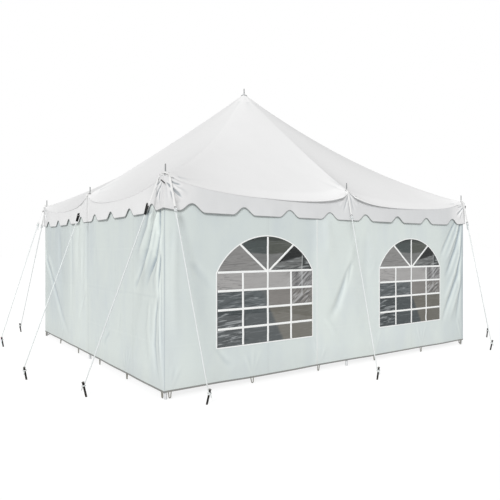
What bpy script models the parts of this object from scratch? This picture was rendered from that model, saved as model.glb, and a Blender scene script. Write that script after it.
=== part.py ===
"""Marquee tent: a square roof cloth on one centre mast and eight side poles, with a scalloped valance,
four hanging walls, arched clear windows in two of them, and guy ropes to stakes.

The origin is on the ground under the mast. The front wall faces -Y and +Z is up. Sizes are in metres.
"""

import math

import bmesh
import bpy
from mathutils import Matrix, Vector

# Plan
WALL_HALF = 3.048
CLOTH = 0.004
GAP = 0.0003
EAVE_HALF = WALL_HALF + 0.020

# Heights above the ground
PEAK_HEIGHT = 4.98
EAVE_HEIGHT = 2.725
WALL_TOP = 2.46
HEM_HEIGHT = 0.10
VALANCE_HEM = 2.285

# Roof cloth
EAVE_SAG = 0.21
SAG_FADE = 3.0
MIDDLE_POLE_DECAY = 0.15
CORNER_POLE_DECAY = 0.20
RIDGE_HOLLOW = 0.05
HIP_HOLLOW = 0.26
ROOF_COLUMNS = 24
COLUMN_CROWDING = 0.5
PIN_HOLE_DEPTH = 0.3

# Valance
VALANCE_CLOTH = 0.003
VALANCE_SEAT = 0.0044
SCALLOPS = 8
NOTCH_DEPTH = 0.105
NOTCH_HALF_WIDTH = 0.145
NOTCH_POINTS = 6
CORNER_LIFT = 0.045
CORNER_LIFT_REACH = 0.30

# Walls and windows
LOOPS = 6
LOOP_PITCH = 1.19
LOOP_DROP = 0.094
LOOP_HALF_WIDTH = 0.026
LOOP_STRAP = 0.011
LOOP_ARC_POINTS = 6
WINDOW_OFFSET = 1.524
WINDOW_HALF_WIDTH = 0.78
WINDOW_SILL = 0.54
WINDOW_SPRINGING = 1.50
WINDOW_RISE = 0.49
WINDOW_ARC_POINTS = 16
FILM = 0.002

# Poles
ROUND_STEPS = 16
SIDE_POLE_RADIUS = 0.019
SIDE_PIN_RADIUS = 0.008
SIDE_PIN_TOP = 2.875
SIDE_SHOULDER = 2.725
MAST_RADIUS = 0.030
MAST_PIN_RADIUS = 0.010
MAST_SHOULDER = 4.942
MAST_TOP = 5.09
FOOT_PLATE_RADIUS = 0.090
FOOT_PLATE = 0.012
PIN_TIP = 0.004

# Peak ring, a sloping collar on the roof round the mast's pin
RING_RADIUS = 0.060
RING_THICKNESS = 0.006
RING_SLOPE = 0.62
RING_LIFT = 0.0012

# Eave rope, which the walls hang from and which bears on the side poles
EAVE_ROPE_RADIUS = 0.005
EAVE_ROPE_TURN_POINTS = 4
WALL_LINE = WALL_HALF - CLOTH / 2
PIN_LINE = WALL_LINE - EAVE_ROPE_RADIUS - GAP - SIDE_POLE_RADIUS
EAVE_ROPE_HEIGHT = WALL_TOP + GAP + EAVE_ROPE_RADIUS

# Stakes
STAKE_RADIUS = 0.0125
STAKE_HEIGHT = 0.19
STAKE_HEAD_RADIUS = 0.0175
STAKE_HEAD = 0.012
STAKE_CROWN_RADIUS = 0.012
STAKE_CROWN_DROP = 0.002
STAKE_HEAD_ROUND = 0.006
STAKE_LEAN = math.radians(14)
STAKE_STEPS = 12
STAKE_BURIED = 0.06
GROUND_SPAN = 12.0
GROUND_DEPTH = 1.0
END_REACH = 3.944
SIDE_REACH = 4.151
RIGHT_CORNER_REACH = 4.140

# Guy ropes
GUY_RADIUS = 0.0065
PIN_LOOP_HEIGHT = 2.7845
PIN_LOOP_STEP = 2 * GUY_RADIUS + GAP
PIN_LOOP_LEVEL = 0.028
EDGE_CLEARANCE = 0.012
EDGE_HEIGHT = 2.747
STAKE_LOOP_BELOW_TOP = 0.045
LOOP_SWEEP = math.radians(225)
LOOP_POINTS = 7

SIDES = ("front", "right", "back", "left")


def clear_scene():
    for obj in list(bpy.data.objects):
        bpy.data.objects.remove(obj, do_unlink=True)


def make_collection(name):
    collection = bpy.data.collections.new(name)
    bpy.context.scene.collection.children.link(collection)
    return collection


def make_material(name, colour, roughness, metallic=0.0):
    material = bpy.data.materials.new(name)
    material.use_nodes = True
    shader = material.node_tree.nodes["Principled BSDF"]
    shader.inputs["Base Color"].default_value = (*colour, 1.0)
    shader.inputs["Roughness"].default_value = roughness
    shader.inputs["Metallic"].default_value = metallic
    return material


def add_object(name, data, collection, material=None):
    obj = bpy.data.objects.new(name, data)
    collection.objects.link(obj)
    if material:
        data.materials.append(material)
    return obj


def side_turn(index):
    """Turn about the centre that takes the front side to this one."""
    return index * math.pi / 2


def outline_sheet(name, outlines, thickness, line, index, parts, material):
    """Upright sheet on one side of the tent: flat outlines in (along, height), holes included."""
    curve = bpy.data.curves.new(name, "CURVE")
    curve.dimensions = "2D"
    curve.fill_mode = "BOTH"
    curve.extrude = thickness / 2
    for outline in outlines:
        spline = curve.splines.new("POLY")
        spline.points.add(len(outline) - 1)
        for point, (along, height) in zip(spline.points, outline):
            point.co = (along, height, 0.0, 1.0)
        spline.use_cyclic_u = True
    sheet = add_object(name, curve, parts, material)
    turn = side_turn(index)
    sheet.rotation_euler = (math.pi / 2, 0.0, turn)
    sheet.location = Matrix.Rotation(turn, 4, "Z") @ Vector((0.0, -line, 0.0))


def turned_piece(name, profile, steps, parts, material, place=(0.0, 0.0)):
    """Solid of revolution about Z, from a profile of (radius, height) that runs down its outer side."""
    mesh = bpy.data.meshes.new(name)
    points = [(radius, 0.0, height) for radius, height in profile]
    edges = [(i, i + 1) for i in range(len(points) - 1)]
    if profile[0][0] > 0.0:
        edges.append((len(points) - 1, 0))
    mesh.from_pydata(points, edges, [])
    piece = add_object(name, mesh, parts, material)
    piece.location = (place[0], place[1], 0.0)
    screw = piece.modifiers.new("Screw", "SCREW")
    screw.steps = steps
    screw.render_steps = steps
    screw.use_merge_vertices = True
    screw.merge_threshold = 0.0001
    return piece


def rope(name, route, radius, parts, material, cyclic=False):
    curve = bpy.data.curves.new(name, "CURVE")
    curve.dimensions = "3D"
    curve.bevel_depth = radius
    curve.bevel_resolution = 2
    curve.use_fill_caps = True
    spline = curve.splines.new("POLY")
    spline.points.add(len(route) - 1)
    for point, place in zip(spline.points, route):
        point.co = (*place, 1.0)
    spline.use_cyclic_u = cyclic
    return add_object(name, curve, parts, material)


def eave_drop(bay):
    """Share of the sag at a place in a bay, from 0 at the middle pole to 1 at the corner pole."""
    held = math.exp(-bay / MIDDLE_POLE_DECAY) + math.exp(-(1.0 - bay) / CORNER_POLE_DECAY)
    return max(0.0, 1.0 - held)


def roof_height(x, y):
    """Top of the roof cloth: straight from peak to eave, hollowed on its ridges and hips, with slack eaves."""
    far, near = max(abs(x), abs(y)), min(abs(x), abs(y))
    out = far / EAVE_HALF
    across = near / far if far > 0.0 else 0.0
    bay = min(1.0, across * EAVE_HALF / PIN_LINE)
    straight = PEAK_HEIGHT + (EAVE_HEIGHT - PEAK_HEIGHT) * out
    hollow = RIDGE_HOLLOW + (HIP_HOLLOW - RIDGE_HOLLOW) * across**2
    return straight - hollow * 4.0 * out * (1.0 - out) - EAVE_SAG * eave_drop(bay) * out**SAG_FADE


def column_place(step):
    """Place of a grid line from -1 to 1, crowded towards the poles where the cloth turns sharply."""
    size = abs(step)
    eased = 0.5 - 0.5 * math.cos(math.pi * size)
    return math.copysign((1.0 - COLUMN_CROWDING) * size + COLUMN_CROWDING * eased, step)


def roof_columns():
    steps = [2.0 * i / ROOF_COLUMNS - 1.0 for i in range(ROOF_COLUMNS + 1)]
    return [column_place(step) * EAVE_HALF for step in steps]


def pole_places():
    """Plan places of the eight side poles by name, each as a share of the pole line."""
    return {
        "front_left": (-1, -1),
        "front_middle": (0, -1),
        "front_right": (1, -1),
        "right_middle": (1, 0),
        "back_right": (1, 1),
        "back_middle": (0, 1),
        "back_left": (-1, 1),
        "left_middle": (-1, 0),
    }


def make_canopy(parts, cutters, material):
    mesh = bpy.data.meshes.new("canopy")
    shape = bmesh.new()
    bmesh.ops.create_grid(shape, x_segments=ROOF_COLUMNS, y_segments=ROOF_COLUMNS, size=EAVE_HALF)
    for vertex in shape.verts:
        vertex.co.x = column_place(vertex.co.x / EAVE_HALF) * EAVE_HALF
        vertex.co.y = column_place(vertex.co.y / EAVE_HALF) * EAVE_HALF
        vertex.co.z = roof_height(vertex.co.x, vertex.co.y)
    for face in list(shape.faces):
        ordered = sorted(face.verts, key=lambda vertex: vertex.co.xy.length)
        bmesh.utils.face_split(face, ordered[0], ordered[-1])
    shape.to_mesh(mesh)
    shape.free()
    canopy = add_object("canopy", mesh, parts, material)
    solidify = canopy.modifiers.new("Solidify", "SOLIDIFY")
    solidify.thickness = CLOTH
    solidify.offset = -1.0
    holes = bpy.data.collections.new("canopy_pin_holes")
    cutters.children.link(holes)
    for name, (x, y) in pole_places().items():
        place = (x * PIN_LINE, y * PIN_LINE)
        make_pin_hole(name, place, SIDE_PIN_RADIUS, EAVE_HEIGHT, holes)
    make_pin_hole("peak", (0.0, 0.0), MAST_PIN_RADIUS, PEAK_HEIGHT, holes)
    boolean = canopy.modifiers.new("Pin holes", "BOOLEAN")
    boolean.operation = "DIFFERENCE"
    boolean.operand_type = "COLLECTION"
    boolean.collection = holes


def make_pin_hole(name, place, radius, height, holes):
    """Cutter for the hole that a pin passes through, a little wider than the pin's flats."""
    mesh = bpy.data.meshes.new(f"hole_{name}")
    shape = bmesh.new()
    wide = radius + GAP
    bmesh.ops.create_cone(
        shape,
        cap_ends=True,
        segments=ROUND_STEPS,
        radius1=wide,
        radius2=wide,
        depth=PIN_HOLE_DEPTH,
    )
    shape.to_mesh(mesh)
    shape.free()
    cutter = add_object(f"hole_{name}", mesh, holes)
    cutter.location = (place[0], place[1], height)
    cutter.hide_render = True
    cutter.display_type = "WIRE"


def notch_outline(centre):
    """One rounded notch between two scallops, left to right, as (along, height above the hem)."""
    points = []
    for i in range(NOTCH_POINTS + 1):
        share = 2.0 * i / NOTCH_POINTS - 1.0
        rise = 0.5 + 0.5 * math.cos(math.pi * share)
        points.append((centre + share * NOTCH_HALF_WIDTH, NOTCH_DEPTH * rise))
    return points


def valance_hem(half):
    """Lower edge of a valance from left to right, scalloped and lifted a little at the corner poles."""
    pitch = 2.0 * EAVE_HALF / SCALLOPS
    points = [(-half, 0.0)]
    for i in range(SCALLOPS):
        points += notch_outline((i + 0.5 - SCALLOPS / 2) * pitch)
    points.append((half, 0.0))
    hem = []
    for along, rise in points:
        lift = CORNER_LIFT * math.exp(-(half - abs(along)) / CORNER_LIFT_REACH)
        hem.append((along, VALANCE_HEM + rise + lift))
    return hem


def make_valances(parts, material):
    for index, side in enumerate(SIDES):
        half = EAVE_HALF if index % 2 == 0 else EAVE_HALF - VALANCE_CLOTH - GAP
        seam = []
        for column in roof_columns():
            height = roof_height(column, EAVE_HALF) - VALANCE_SEAT
            seam.append((max(-half, min(half, column)), height))
        outline = valance_hem(half) + seam[::-1]
        line = EAVE_HALF - VALANCE_CLOTH / 2
        outline_sheet(f"valance_{side}", [outline], VALANCE_CLOTH, line, index, parts, material)


def loop_arc(centre, half_width, bottom):
    """Lower outline of a hanging loop, left to right, down to its round bottom."""
    points = [(centre - half_width, HEM_HEIGHT)]
    for i in range(LOOP_ARC_POINTS + 1):
        angle = math.pi + math.pi * i / LOOP_ARC_POINTS
        along = centre + half_width * math.cos(angle)
        points.append((along, bottom + half_width + half_width * math.sin(angle)))
    points.append((centre + half_width, HEM_HEIGHT))
    return points


def window_outline(centre, inset=0.0):
    """Arched opening: upright sides from the sill, and a segment of a circle from the springing."""
    half = WINDOW_HALF_WIDTH
    radius = (half**2 + WINDOW_RISE**2) / (2.0 * WINDOW_RISE)
    middle = WINDOW_SPRINGING + WINDOW_RISE - radius
    half -= inset
    radius -= inset
    end = math.acos(half / radius)
    points = [(centre - half, WINDOW_SILL + inset), (centre + half, WINDOW_SILL + inset)]
    for i in range(WINDOW_ARC_POINTS + 1):
        angle = end + (math.pi - 2.0 * end) * i / WINDOW_ARC_POINTS
        points.append((centre + radius * math.cos(angle), middle + radius * math.sin(angle)))
    return points


def make_walls(parts, wall_material, film_material):
    bottom = HEM_HEIGHT - LOOP_DROP
    for index, side in enumerate(SIDES):
        windowed = index % 2 == 0
        half = WALL_HALF if windowed else WALL_HALF - CLOTH - GAP
        hem = [(-half, HEM_HEIGHT)]
        holes = []
        for i in range(LOOPS):
            centre = (i - (LOOPS - 1) / 2) * LOOP_PITCH
            hem += loop_arc(centre, LOOP_HALF_WIDTH, bottom)
            inner = loop_arc(centre, LOOP_HALF_WIDTH - LOOP_STRAP, bottom + LOOP_STRAP)
            holes.append([(along, min(height, HEM_HEIGHT - GAP)) for along, height in inner])
        outline = hem + [(half, HEM_HEIGHT), (half, WALL_TOP), (-half, WALL_TOP)]
        if windowed:
            for name, centre in (("left", -WINDOW_OFFSET), ("right", WINDOW_OFFSET)):
                holes.append(window_outline(centre))
                film = [window_outline(centre, GAP)]
                title = f"window_{side}_{name}"
                outline_sheet(title, film, FILM, WALL_LINE, index, parts, film_material)
        outlines = [outline, *holes]
        outline_sheet(f"wall_{side}", outlines, CLOTH, WALL_LINE, index, parts, wall_material)


def make_eave_rope(parts, material):
    """Closed rope that runs straight along each side and round the outside of each corner pole."""
    quarter = math.pi / 2
    step = quarter / EAVE_ROPE_TURN_POINTS
    bend = (WALL_LINE - PIN_LINE) / math.cos(step / 2)
    route = []
    for corner, (x, y) in enumerate(((1, 1), (-1, 1), (-1, -1), (1, -1))):
        for i in range(EAVE_ROPE_TURN_POINTS):
            angle = corner * quarter + step * (i + 0.5)
            along = x * PIN_LINE + bend * math.cos(angle)
            route.append((along, y * PIN_LINE + bend * math.sin(angle), EAVE_ROPE_HEIGHT))
    rope("eave_rope", route, EAVE_ROPE_RADIUS, parts, material, cyclic=True)


def make_side_poles(parts, material):
    profile = [
        (0.0, SIDE_PIN_TOP),
        (SIDE_PIN_RADIUS - PIN_TIP, SIDE_PIN_TOP),
        (SIDE_PIN_RADIUS, SIDE_PIN_TOP - PIN_TIP),
        (SIDE_PIN_RADIUS, SIDE_SHOULDER),
        (SIDE_POLE_RADIUS, SIDE_SHOULDER),
        (SIDE_POLE_RADIUS, 0.0),
        (0.0, 0.0),
    ]
    for name, (x, y) in pole_places().items():
        place = (x * PIN_LINE, y * PIN_LINE)
        turned_piece(f"pole_{name}", profile, ROUND_STEPS, parts, material, place)


def make_mast(parts, material):
    profile = [
        (0.0, MAST_TOP),
        (MAST_PIN_RADIUS - PIN_TIP, MAST_TOP),
        (MAST_PIN_RADIUS, MAST_TOP - PIN_TIP),
        (MAST_PIN_RADIUS, MAST_SHOULDER),
        (MAST_RADIUS, MAST_SHOULDER),
        (MAST_RADIUS, FOOT_PLATE + GAP),
        (0.0, FOOT_PLATE + GAP),
    ]
    turned_piece("centre_pole", profile, ROUND_STEPS, parts, material)


def make_foot_plate(parts, material):
    profile = [
        (0.0, FOOT_PLATE),
        (FOOT_PLATE_RADIUS, FOOT_PLATE),
        (FOOT_PLATE_RADIUS, 0.0),
        (0.0, 0.0),
    ]
    turned_piece("foot_plate", profile, ROUND_STEPS, parts, material)


def make_peak_ring(parts, material):
    inner = MAST_PIN_RADIUS + GAP
    inner_base = PEAK_HEIGHT + RING_LIFT - RING_SLOPE * inner
    outer_base = PEAK_HEIGHT + RING_LIFT - RING_SLOPE * RING_RADIUS
    profile = [
        (inner, inner_base + RING_THICKNESS),
        (RING_RADIUS, outer_base + RING_THICKNESS),
        (RING_RADIUS, outer_base),
        (inner, inner_base),
    ]
    turned_piece("peak_ring", profile, ROUND_STEPS, parts, material)


def stake_places():
    """Stakes by name: the pole they serve and the plan place where each enters the ground."""
    return {
        "front_left_front": ("front_left", (-2.73, -3.53)),
        "front_right_front": ("front_right", (2.94, -3.70)),
        "front_middle": ("front_middle", (-0.28, -END_REACH)),
        "front_left_side": ("front_left", (-3.75, -2.32)),
        "front_right_side": ("front_right", (RIGHT_CORNER_REACH, -2.87)),
        "back_left_back": ("back_left", (-3.35, END_REACH)),
        "back_right_back": ("back_right", (3.35, END_REACH)),
        "back_middle": ("back_middle", (-0.28, END_REACH)),
        "back_left_side": ("back_left", (-3.97, 2.15)),
        "back_right_side": ("back_right", (RIGHT_CORNER_REACH, 2.87)),
        "left_middle": ("left_middle", (-SIDE_REACH, -0.90)),
        "right_middle": ("right_middle", (SIDE_REACH, -0.90)),
    }


def stake_frame(pole, base):
    """Level heading from the pole to the stake, the level direction to its left, and the stake's axis."""
    share = pole_places()[pole]
    pin = Vector((share[0] * PIN_LINE, share[1] * PIN_LINE, 0.0))
    heading = (Vector((*base, 0.0)) - pin).normalized()
    beside = Vector((-heading.y, heading.x, 0.0))
    axis = heading * math.sin(STAKE_LEAN) + Vector((0.0, 0.0, math.cos(STAKE_LEAN)))
    return pin, heading, beside, axis


def make_stakes(parts, cutters, material):
    ground = bpy.data.meshes.new("ground")
    shape = bmesh.new()
    bmesh.ops.create_cube(shape, size=1.0)
    bmesh.ops.scale(shape, vec=(GROUND_SPAN, GROUND_SPAN, GROUND_DEPTH), verts=shape.verts)
    bmesh.ops.translate(shape, vec=(0.0, 0.0, -GROUND_DEPTH / 2), verts=shape.verts)
    shape.to_mesh(ground)
    shape.free()
    below_ground = add_object("below_ground", ground, cutters)
    below_ground.hide_render = True
    below_ground.display_type = "WIRE"
    top = STAKE_HEIGHT / math.cos(STAKE_LEAN)
    profile = [
        (0.0, top),
        (STAKE_CROWN_RADIUS, top - STAKE_CROWN_DROP),
        (STAKE_HEAD_RADIUS, top - STAKE_HEAD_ROUND),
        (STAKE_HEAD_RADIUS, top - STAKE_HEAD),
        (STAKE_RADIUS, top - STAKE_HEAD),
        (STAKE_RADIUS, -STAKE_BURIED),
        (0.0, -STAKE_BURIED),
    ]
    for name, (pole, base) in stake_places().items():
        axis = stake_frame(pole, base)[3]
        stake = turned_piece(f"stake_{name}", profile, STAKE_STEPS, parts, material, base)
        stake.rotation_euler = axis.to_track_quat("Z", "Y").to_euler()
        cut = stake.modifiers.new("Ground line", "BOOLEAN")
        cut.operation = "DIFFERENCE"
        cut.object = below_ground


def half_loop(centre, along, beside, radius, start):
    """Points of an open loop round a pin, whose straight runs keep the radius, through LOOP_SWEEP."""
    points = []
    step = LOOP_SWEEP / LOOP_POINTS
    corner = radius / math.cos(step / 2)
    for i in range(LOOP_POINTS + 1):
        angle = start + step * i
        points.append(centre + corner * (math.cos(angle) * along + math.sin(angle) * beside))
    return points


def guy_route(pole, base, level):
    """From a loop round the pole's pin, out over the eave, straight to the stake and round it."""
    pin, heading, beside, axis = stake_frame(pole, base)
    pin_loop = SIDE_PIN_RADIUS + GAP + GUY_RADIUS
    height = PIN_LOOP_HEIGHT + level * PIN_LOOP_STEP
    centre = pin + Vector((0.0, 0.0, height))
    quarter = math.pi / 2
    route = half_loop(centre, heading, beside, pin_loop, 3.0 * quarter - LOOP_SWEEP)
    start = centre - beside * pin_loop
    route.append(start + heading * PIN_LOOP_LEVEL)
    square = max(abs(heading.x), abs(heading.y))
    to_edge = (EAVE_HALF - PIN_LINE + EDGE_CLEARANCE) / square
    edge = start + heading * to_edge
    edge.z = EDGE_HEIGHT + level * PIN_LOOP_STEP
    route.append(edge)
    stake_top = STAKE_HEIGHT / math.cos(STAKE_LEAN)
    held = Vector((*base, 0.0)) + axis * (stake_top - STAKE_LOOP_BELOW_TOP)
    across = beside.cross(axis)
    stake_loop = STAKE_RADIUS + GAP + GUY_RADIUS
    route += half_loop(held, across, beside, stake_loop, -quarter)
    return route


def make_guys(parts, material):
    served = set()
    for name, (pole, base) in stake_places().items():
        level = 1 if pole in served else 0
        served.add(pole)
        rope(f"guy_{name}", guy_route(pole, base, level), GUY_RADIUS, parts, material)


def main():
    clear_scene()
    parts = make_collection("marquee_tent")
    cutters = make_collection("cutters")
    roof_cloth = make_material("roof_cloth", (0.83, 0.83, 0.83), 0.45)
    wall_cloth = make_material("wall_cloth", (0.67, 0.72, 0.72), 0.50)
    clear_film = make_material("clear_film", (0.12, 0.13, 0.13), 0.15)
    pole_steel = make_material("pole_steel", (0.55, 0.56, 0.57), 0.35, 1.0)
    stake_steel = make_material("stake_steel", (0.03, 0.03, 0.028), 0.55, 1.0)
    rope_white = make_material("rope_white", (0.78, 0.82, 0.82), 0.70)
    make_canopy(parts, cutters, roof_cloth)
    make_valances(parts, roof_cloth)
    make_walls(parts, wall_cloth, clear_film)
    make_eave_rope(parts, rope_white)
    make_side_poles(parts, pole_steel)
    make_mast(parts, pole_steel)
    make_foot_plate(parts, pole_steel)
    make_peak_ring(parts, pole_steel)
    make_stakes(parts, cutters, stake_steel)
    make_guys(parts, rope_white)


main()
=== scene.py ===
"""Dresses a packed marquee tent: roof cloth, scalloped valances, hanging walls, arched windows,
guy ropes and stakes.

Laid out as a Blender add-on and run as a script. Sizes are in metres, +Z is up and the front wall faces -Y.
"""

import math

import bpy
import numpy as np
from bpy.props import FloatProperty, FloatVectorProperty, IntProperty, PointerProperty
from mathutils import Matrix, Vector


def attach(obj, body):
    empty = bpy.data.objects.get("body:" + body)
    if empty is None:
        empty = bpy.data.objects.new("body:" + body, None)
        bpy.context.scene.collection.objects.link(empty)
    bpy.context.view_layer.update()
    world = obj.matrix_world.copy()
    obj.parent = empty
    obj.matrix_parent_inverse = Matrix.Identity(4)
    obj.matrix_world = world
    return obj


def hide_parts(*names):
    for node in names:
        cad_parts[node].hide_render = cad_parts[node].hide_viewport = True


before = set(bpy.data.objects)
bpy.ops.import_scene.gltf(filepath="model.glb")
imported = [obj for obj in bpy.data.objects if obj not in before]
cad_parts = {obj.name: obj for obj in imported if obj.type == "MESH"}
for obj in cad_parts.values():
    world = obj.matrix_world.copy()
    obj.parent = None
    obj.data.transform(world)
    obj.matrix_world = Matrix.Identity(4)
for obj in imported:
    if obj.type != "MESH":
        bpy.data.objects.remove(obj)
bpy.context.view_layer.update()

bl_info = {
    "name": "Marquee Tent Dressing",
    "version": (1, 0, 0),
    "blender": (4, 5, 0),
    "location": "View3D > Sidebar > Tent",
    "description": "Dresses a marquee tent frame with cloth, windows, ropes and stakes",
    "category": "Object",
}

SIDES = ("front", "right", "back", "left")
UP = Vector((0.0, 0.0, 1.0))

# The frame's own sizes
EAVE_HALF = 3.068
PEAK_HEIGHT = 4.98
EAVE_HEIGHT = 2.725
EAVE_SAG = 0.21
SAG_FADE = 3.0
MIDDLE_POLE_DECAY = 0.15
CORNER_POLE_DECAY = 0.20
RIDGE_HOLLOW = 0.05
HIP_HOLLOW = 0.26
WALL_LINE = 3.046
PIN_LINE = 3.0217
WALL_TOP = 2.46
WALL_HEM = 0.10
VALANCE_HEM = 2.285
SCALLOPS = 8
NOTCH_DEPTH = 0.105
CORNER_LIFT = 0.045
CORNER_LIFT_REACH = 0.30
LOOPS = 6
LOOP_PITCH = 1.19
WINDOW_OFFSET = 1.524
WINDOW_RISE = 0.49
SIDE_PIN_RADIUS = 0.008
STAKE_RADIUS = 0.0125
STAKE_HEIGHT = 0.19
STAKE_LEAN = math.radians(14)
GUY_RADIUS = 0.0065
GAP = 0.0003
EDGE_CLEARANCE = 0.012
STAKE_LOOP_BELOW_TOP = 0.045

# The scene's own sizes, a little larger than the frame's: notches, windows and ropes
NOTCH_HALF_WIDTH = 0.180
WINDOW_HALF = 0.80
WINDOW_SILL = 0.545
WINDOW_SPRINGING = 1.52
WINDOW_HUB = 1.525
ROPE_RADIUS = 0.0078

# How far the roof's patches reach from a pin or the peak, and how high they lie on the cloth
MIDDLE_PATCH = 0.20
CORNER_PATCH = 0.26
PEAK_PATCH = 0.30
PATCH_LIFT = 0.0024
PATCH_RIM_LIFT = 0.0004

# Webbing straps: half widths on the pin and below it, thickness, heights over the cloth at the pin and
# over the eave, and how much higher a corner's second strap lies at each
STRAP_NARROW = 0.0058
STRAP_WIDE = 0.0125
STRAP_THICK = 0.0026
STRAP_ON_PIN = 0.0145
STRAP_ON_PIN_STEP = 0.0125
STRAP_ON_EAVE = 0.011
STRAP_ON_EAVE_STEP = 0.006

# From a strap's end to the middle of its ring or ratchet, and to where the rope starts
RING_MIDDLE = 0.010
RING_REACH = 0.018
RATCHET_MIDDLE = 0.062
RATCHET_REACH = 0.122

# Ground loops: height where their ends are sewn in, lowest height of the cord's middle, its radius
LOOP_TOP = 0.104
LOOP_LOW = 0.0131
LOOP_CORD = 0.0070

# Corner hooks, dark bars that also stand as painted shade under the straps' crossing: their length, how far
# their middle is below the eave and out from the corner
SHADOW_HOOK_LENGTH = 0.068
SHADOW_HOOK_DROP = 0.079
SHADOW_HOOK_OUT = 0.0150

# The tones of the film are laid out for a window that sits this much lower
FILM_LIFT = 0.02

# Bars of a window: heights of the level ones, places of the upright ones, and the fan's spokes
BAR_LEVELS = (0.780, 1.030, 1.280, WINDOW_HUB)
BAR_PLACES = (-0.405, 0.405)
SPOKE_ANGLE = math.radians(39.5)
SPOKE_LENGTH = 0.576

# A valance's height on its flat pattern, and the height over which its folds are shaded
VALANCE_DROP = 0.36
FOLD_DROP = 0.40

# Seams and tapes that run up the walls, as places along a wall
WINDOWED_WALL_SEAMS = (-1.524, 1.524)
PLAIN_WALL_SEAMS = (-2.03, 0.0, 2.03)
WALL_TAPE = -0.631

# The photograph's view, with the lens as its focal length over the picture's width
CAMERA_PLACE = (-5.69, -9.07, 1.82)
CAMERA_YAW = math.radians(-38.18)
SENSOR_WIDTH = 36.0
FOCAL_SHARE = 525.1 / 500.0
CAMERA_SHIFT = -0.10
SUN_DIRECTION = (0.705, 0.710, -0.540)

# Where each guy rope is pegged: its pole, as shares of the pole line, and its stake on the ground
GUYS = {
    "front_left_front": ((-1, -1), (-2.73, -3.53)),
    "front_right_front": ((1, -1), (2.94, -3.70)),
    "front_middle": ((0, -1), (-0.28, -3.944)),
    "front_left_side": ((-1, -1), (-3.75, -2.32)),
    "front_right_side": ((1, -1), (4.14, -2.87)),
    "back_left_back": ((-1, 1), (-3.35, 3.944)),
    "back_right_back": ((1, 1), (3.35, 3.944)),
    "back_middle": ((0, 1), (-0.28, 3.944)),
    "back_left_side": ((-1, 1), (-3.97, 2.15)),
    "back_right_side": ((1, 1), (4.14, 2.87)),
    "left_middle": ((-1, 0), (-4.151, -0.90)),
    "right_middle": ((1, 0), (4.151, -0.90)),
}
# The ropes that have a ratchet; the others have a ring
RATCHETS = ("front_left_side", "left_middle", "right_middle", "back_right_side")
# Places of the side poles, as shares of the pole line
POLES = {
    "front_left": (-1, -1),
    "front_middle": (0, -1),
    "front_right": (1, -1),
    "right_middle": (1, 0),
    "back_right": (1, 1),
    "back_middle": (0, 1),
    "back_left": (-1, 1),
    "left_middle": (-1, 0),
}

# Folds in the walls: half width and depth, then points (along, height)
FRONT_FOLDS = (
    (0.034, -0.012, (2.86, 2.44), (2.68, 2.20), (2.56, 2.02), (2.36, 1.74), (2.28, 1.62)),
    (0.036, 0.012, (2.92, 2.40), (2.80, 2.10), (2.62, 1.80), (2.42, 1.52)),
    (0.034, -0.020, (2.97, 2.44), (2.95, 2.20), (2.82, 1.85), (2.60, 1.48), (2.44, 1.26)),
    (0.042, 0.014, (2.98, 2.20), (2.92, 1.75), (2.76, 1.40), (2.55, 1.02), (2.42, 0.78)),
    (0.034, -0.018, (2.97, 2.00), (2.96, 1.66), (2.88, 1.36), (2.68, 0.99), (2.50, 0.69), (2.32, 0.36)),
    (0.048, 0.012, (2.96, 1.45), (2.90, 1.10), (2.72, 0.74), (2.58, 0.42)),
    (0.034, -0.010, (2.97, 1.20), (2.90, 0.80), (2.80, 0.40)),
    (0.060, -0.0075, (-2.72, 1.70), (-2.50, 1.45), (-2.30, 1.22)),
    (0.035, -0.0050, (-2.40, 0.62), (-2.20, 0.36), (-2.06, 0.26)),
    (0.050, 0.0050, (-2.90, 2.20), (-2.93, 1.40), (-2.90, 0.50)),
    (0.050, -0.0170, (0.12, 1.70), (-0.066, 1.304), (-0.23, 0.963), (-0.435, 0.725)),
    (0.060, 0.0040, (0.20, 2.10), (0.06, 1.70), (-0.10, 1.30)),
    (0.085, 0.0070, (-0.46, 2.34), (-0.40, 1.95), (-0.42, 1.60)),
    (0.080, -0.0040, (0.42, 2.20), (0.40, 1.40), (0.46, 0.70)),
    (0.040, 0.0040, (-0.50, 0.80), (-0.34, 0.62), (-0.20, 0.40)),
)
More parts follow.
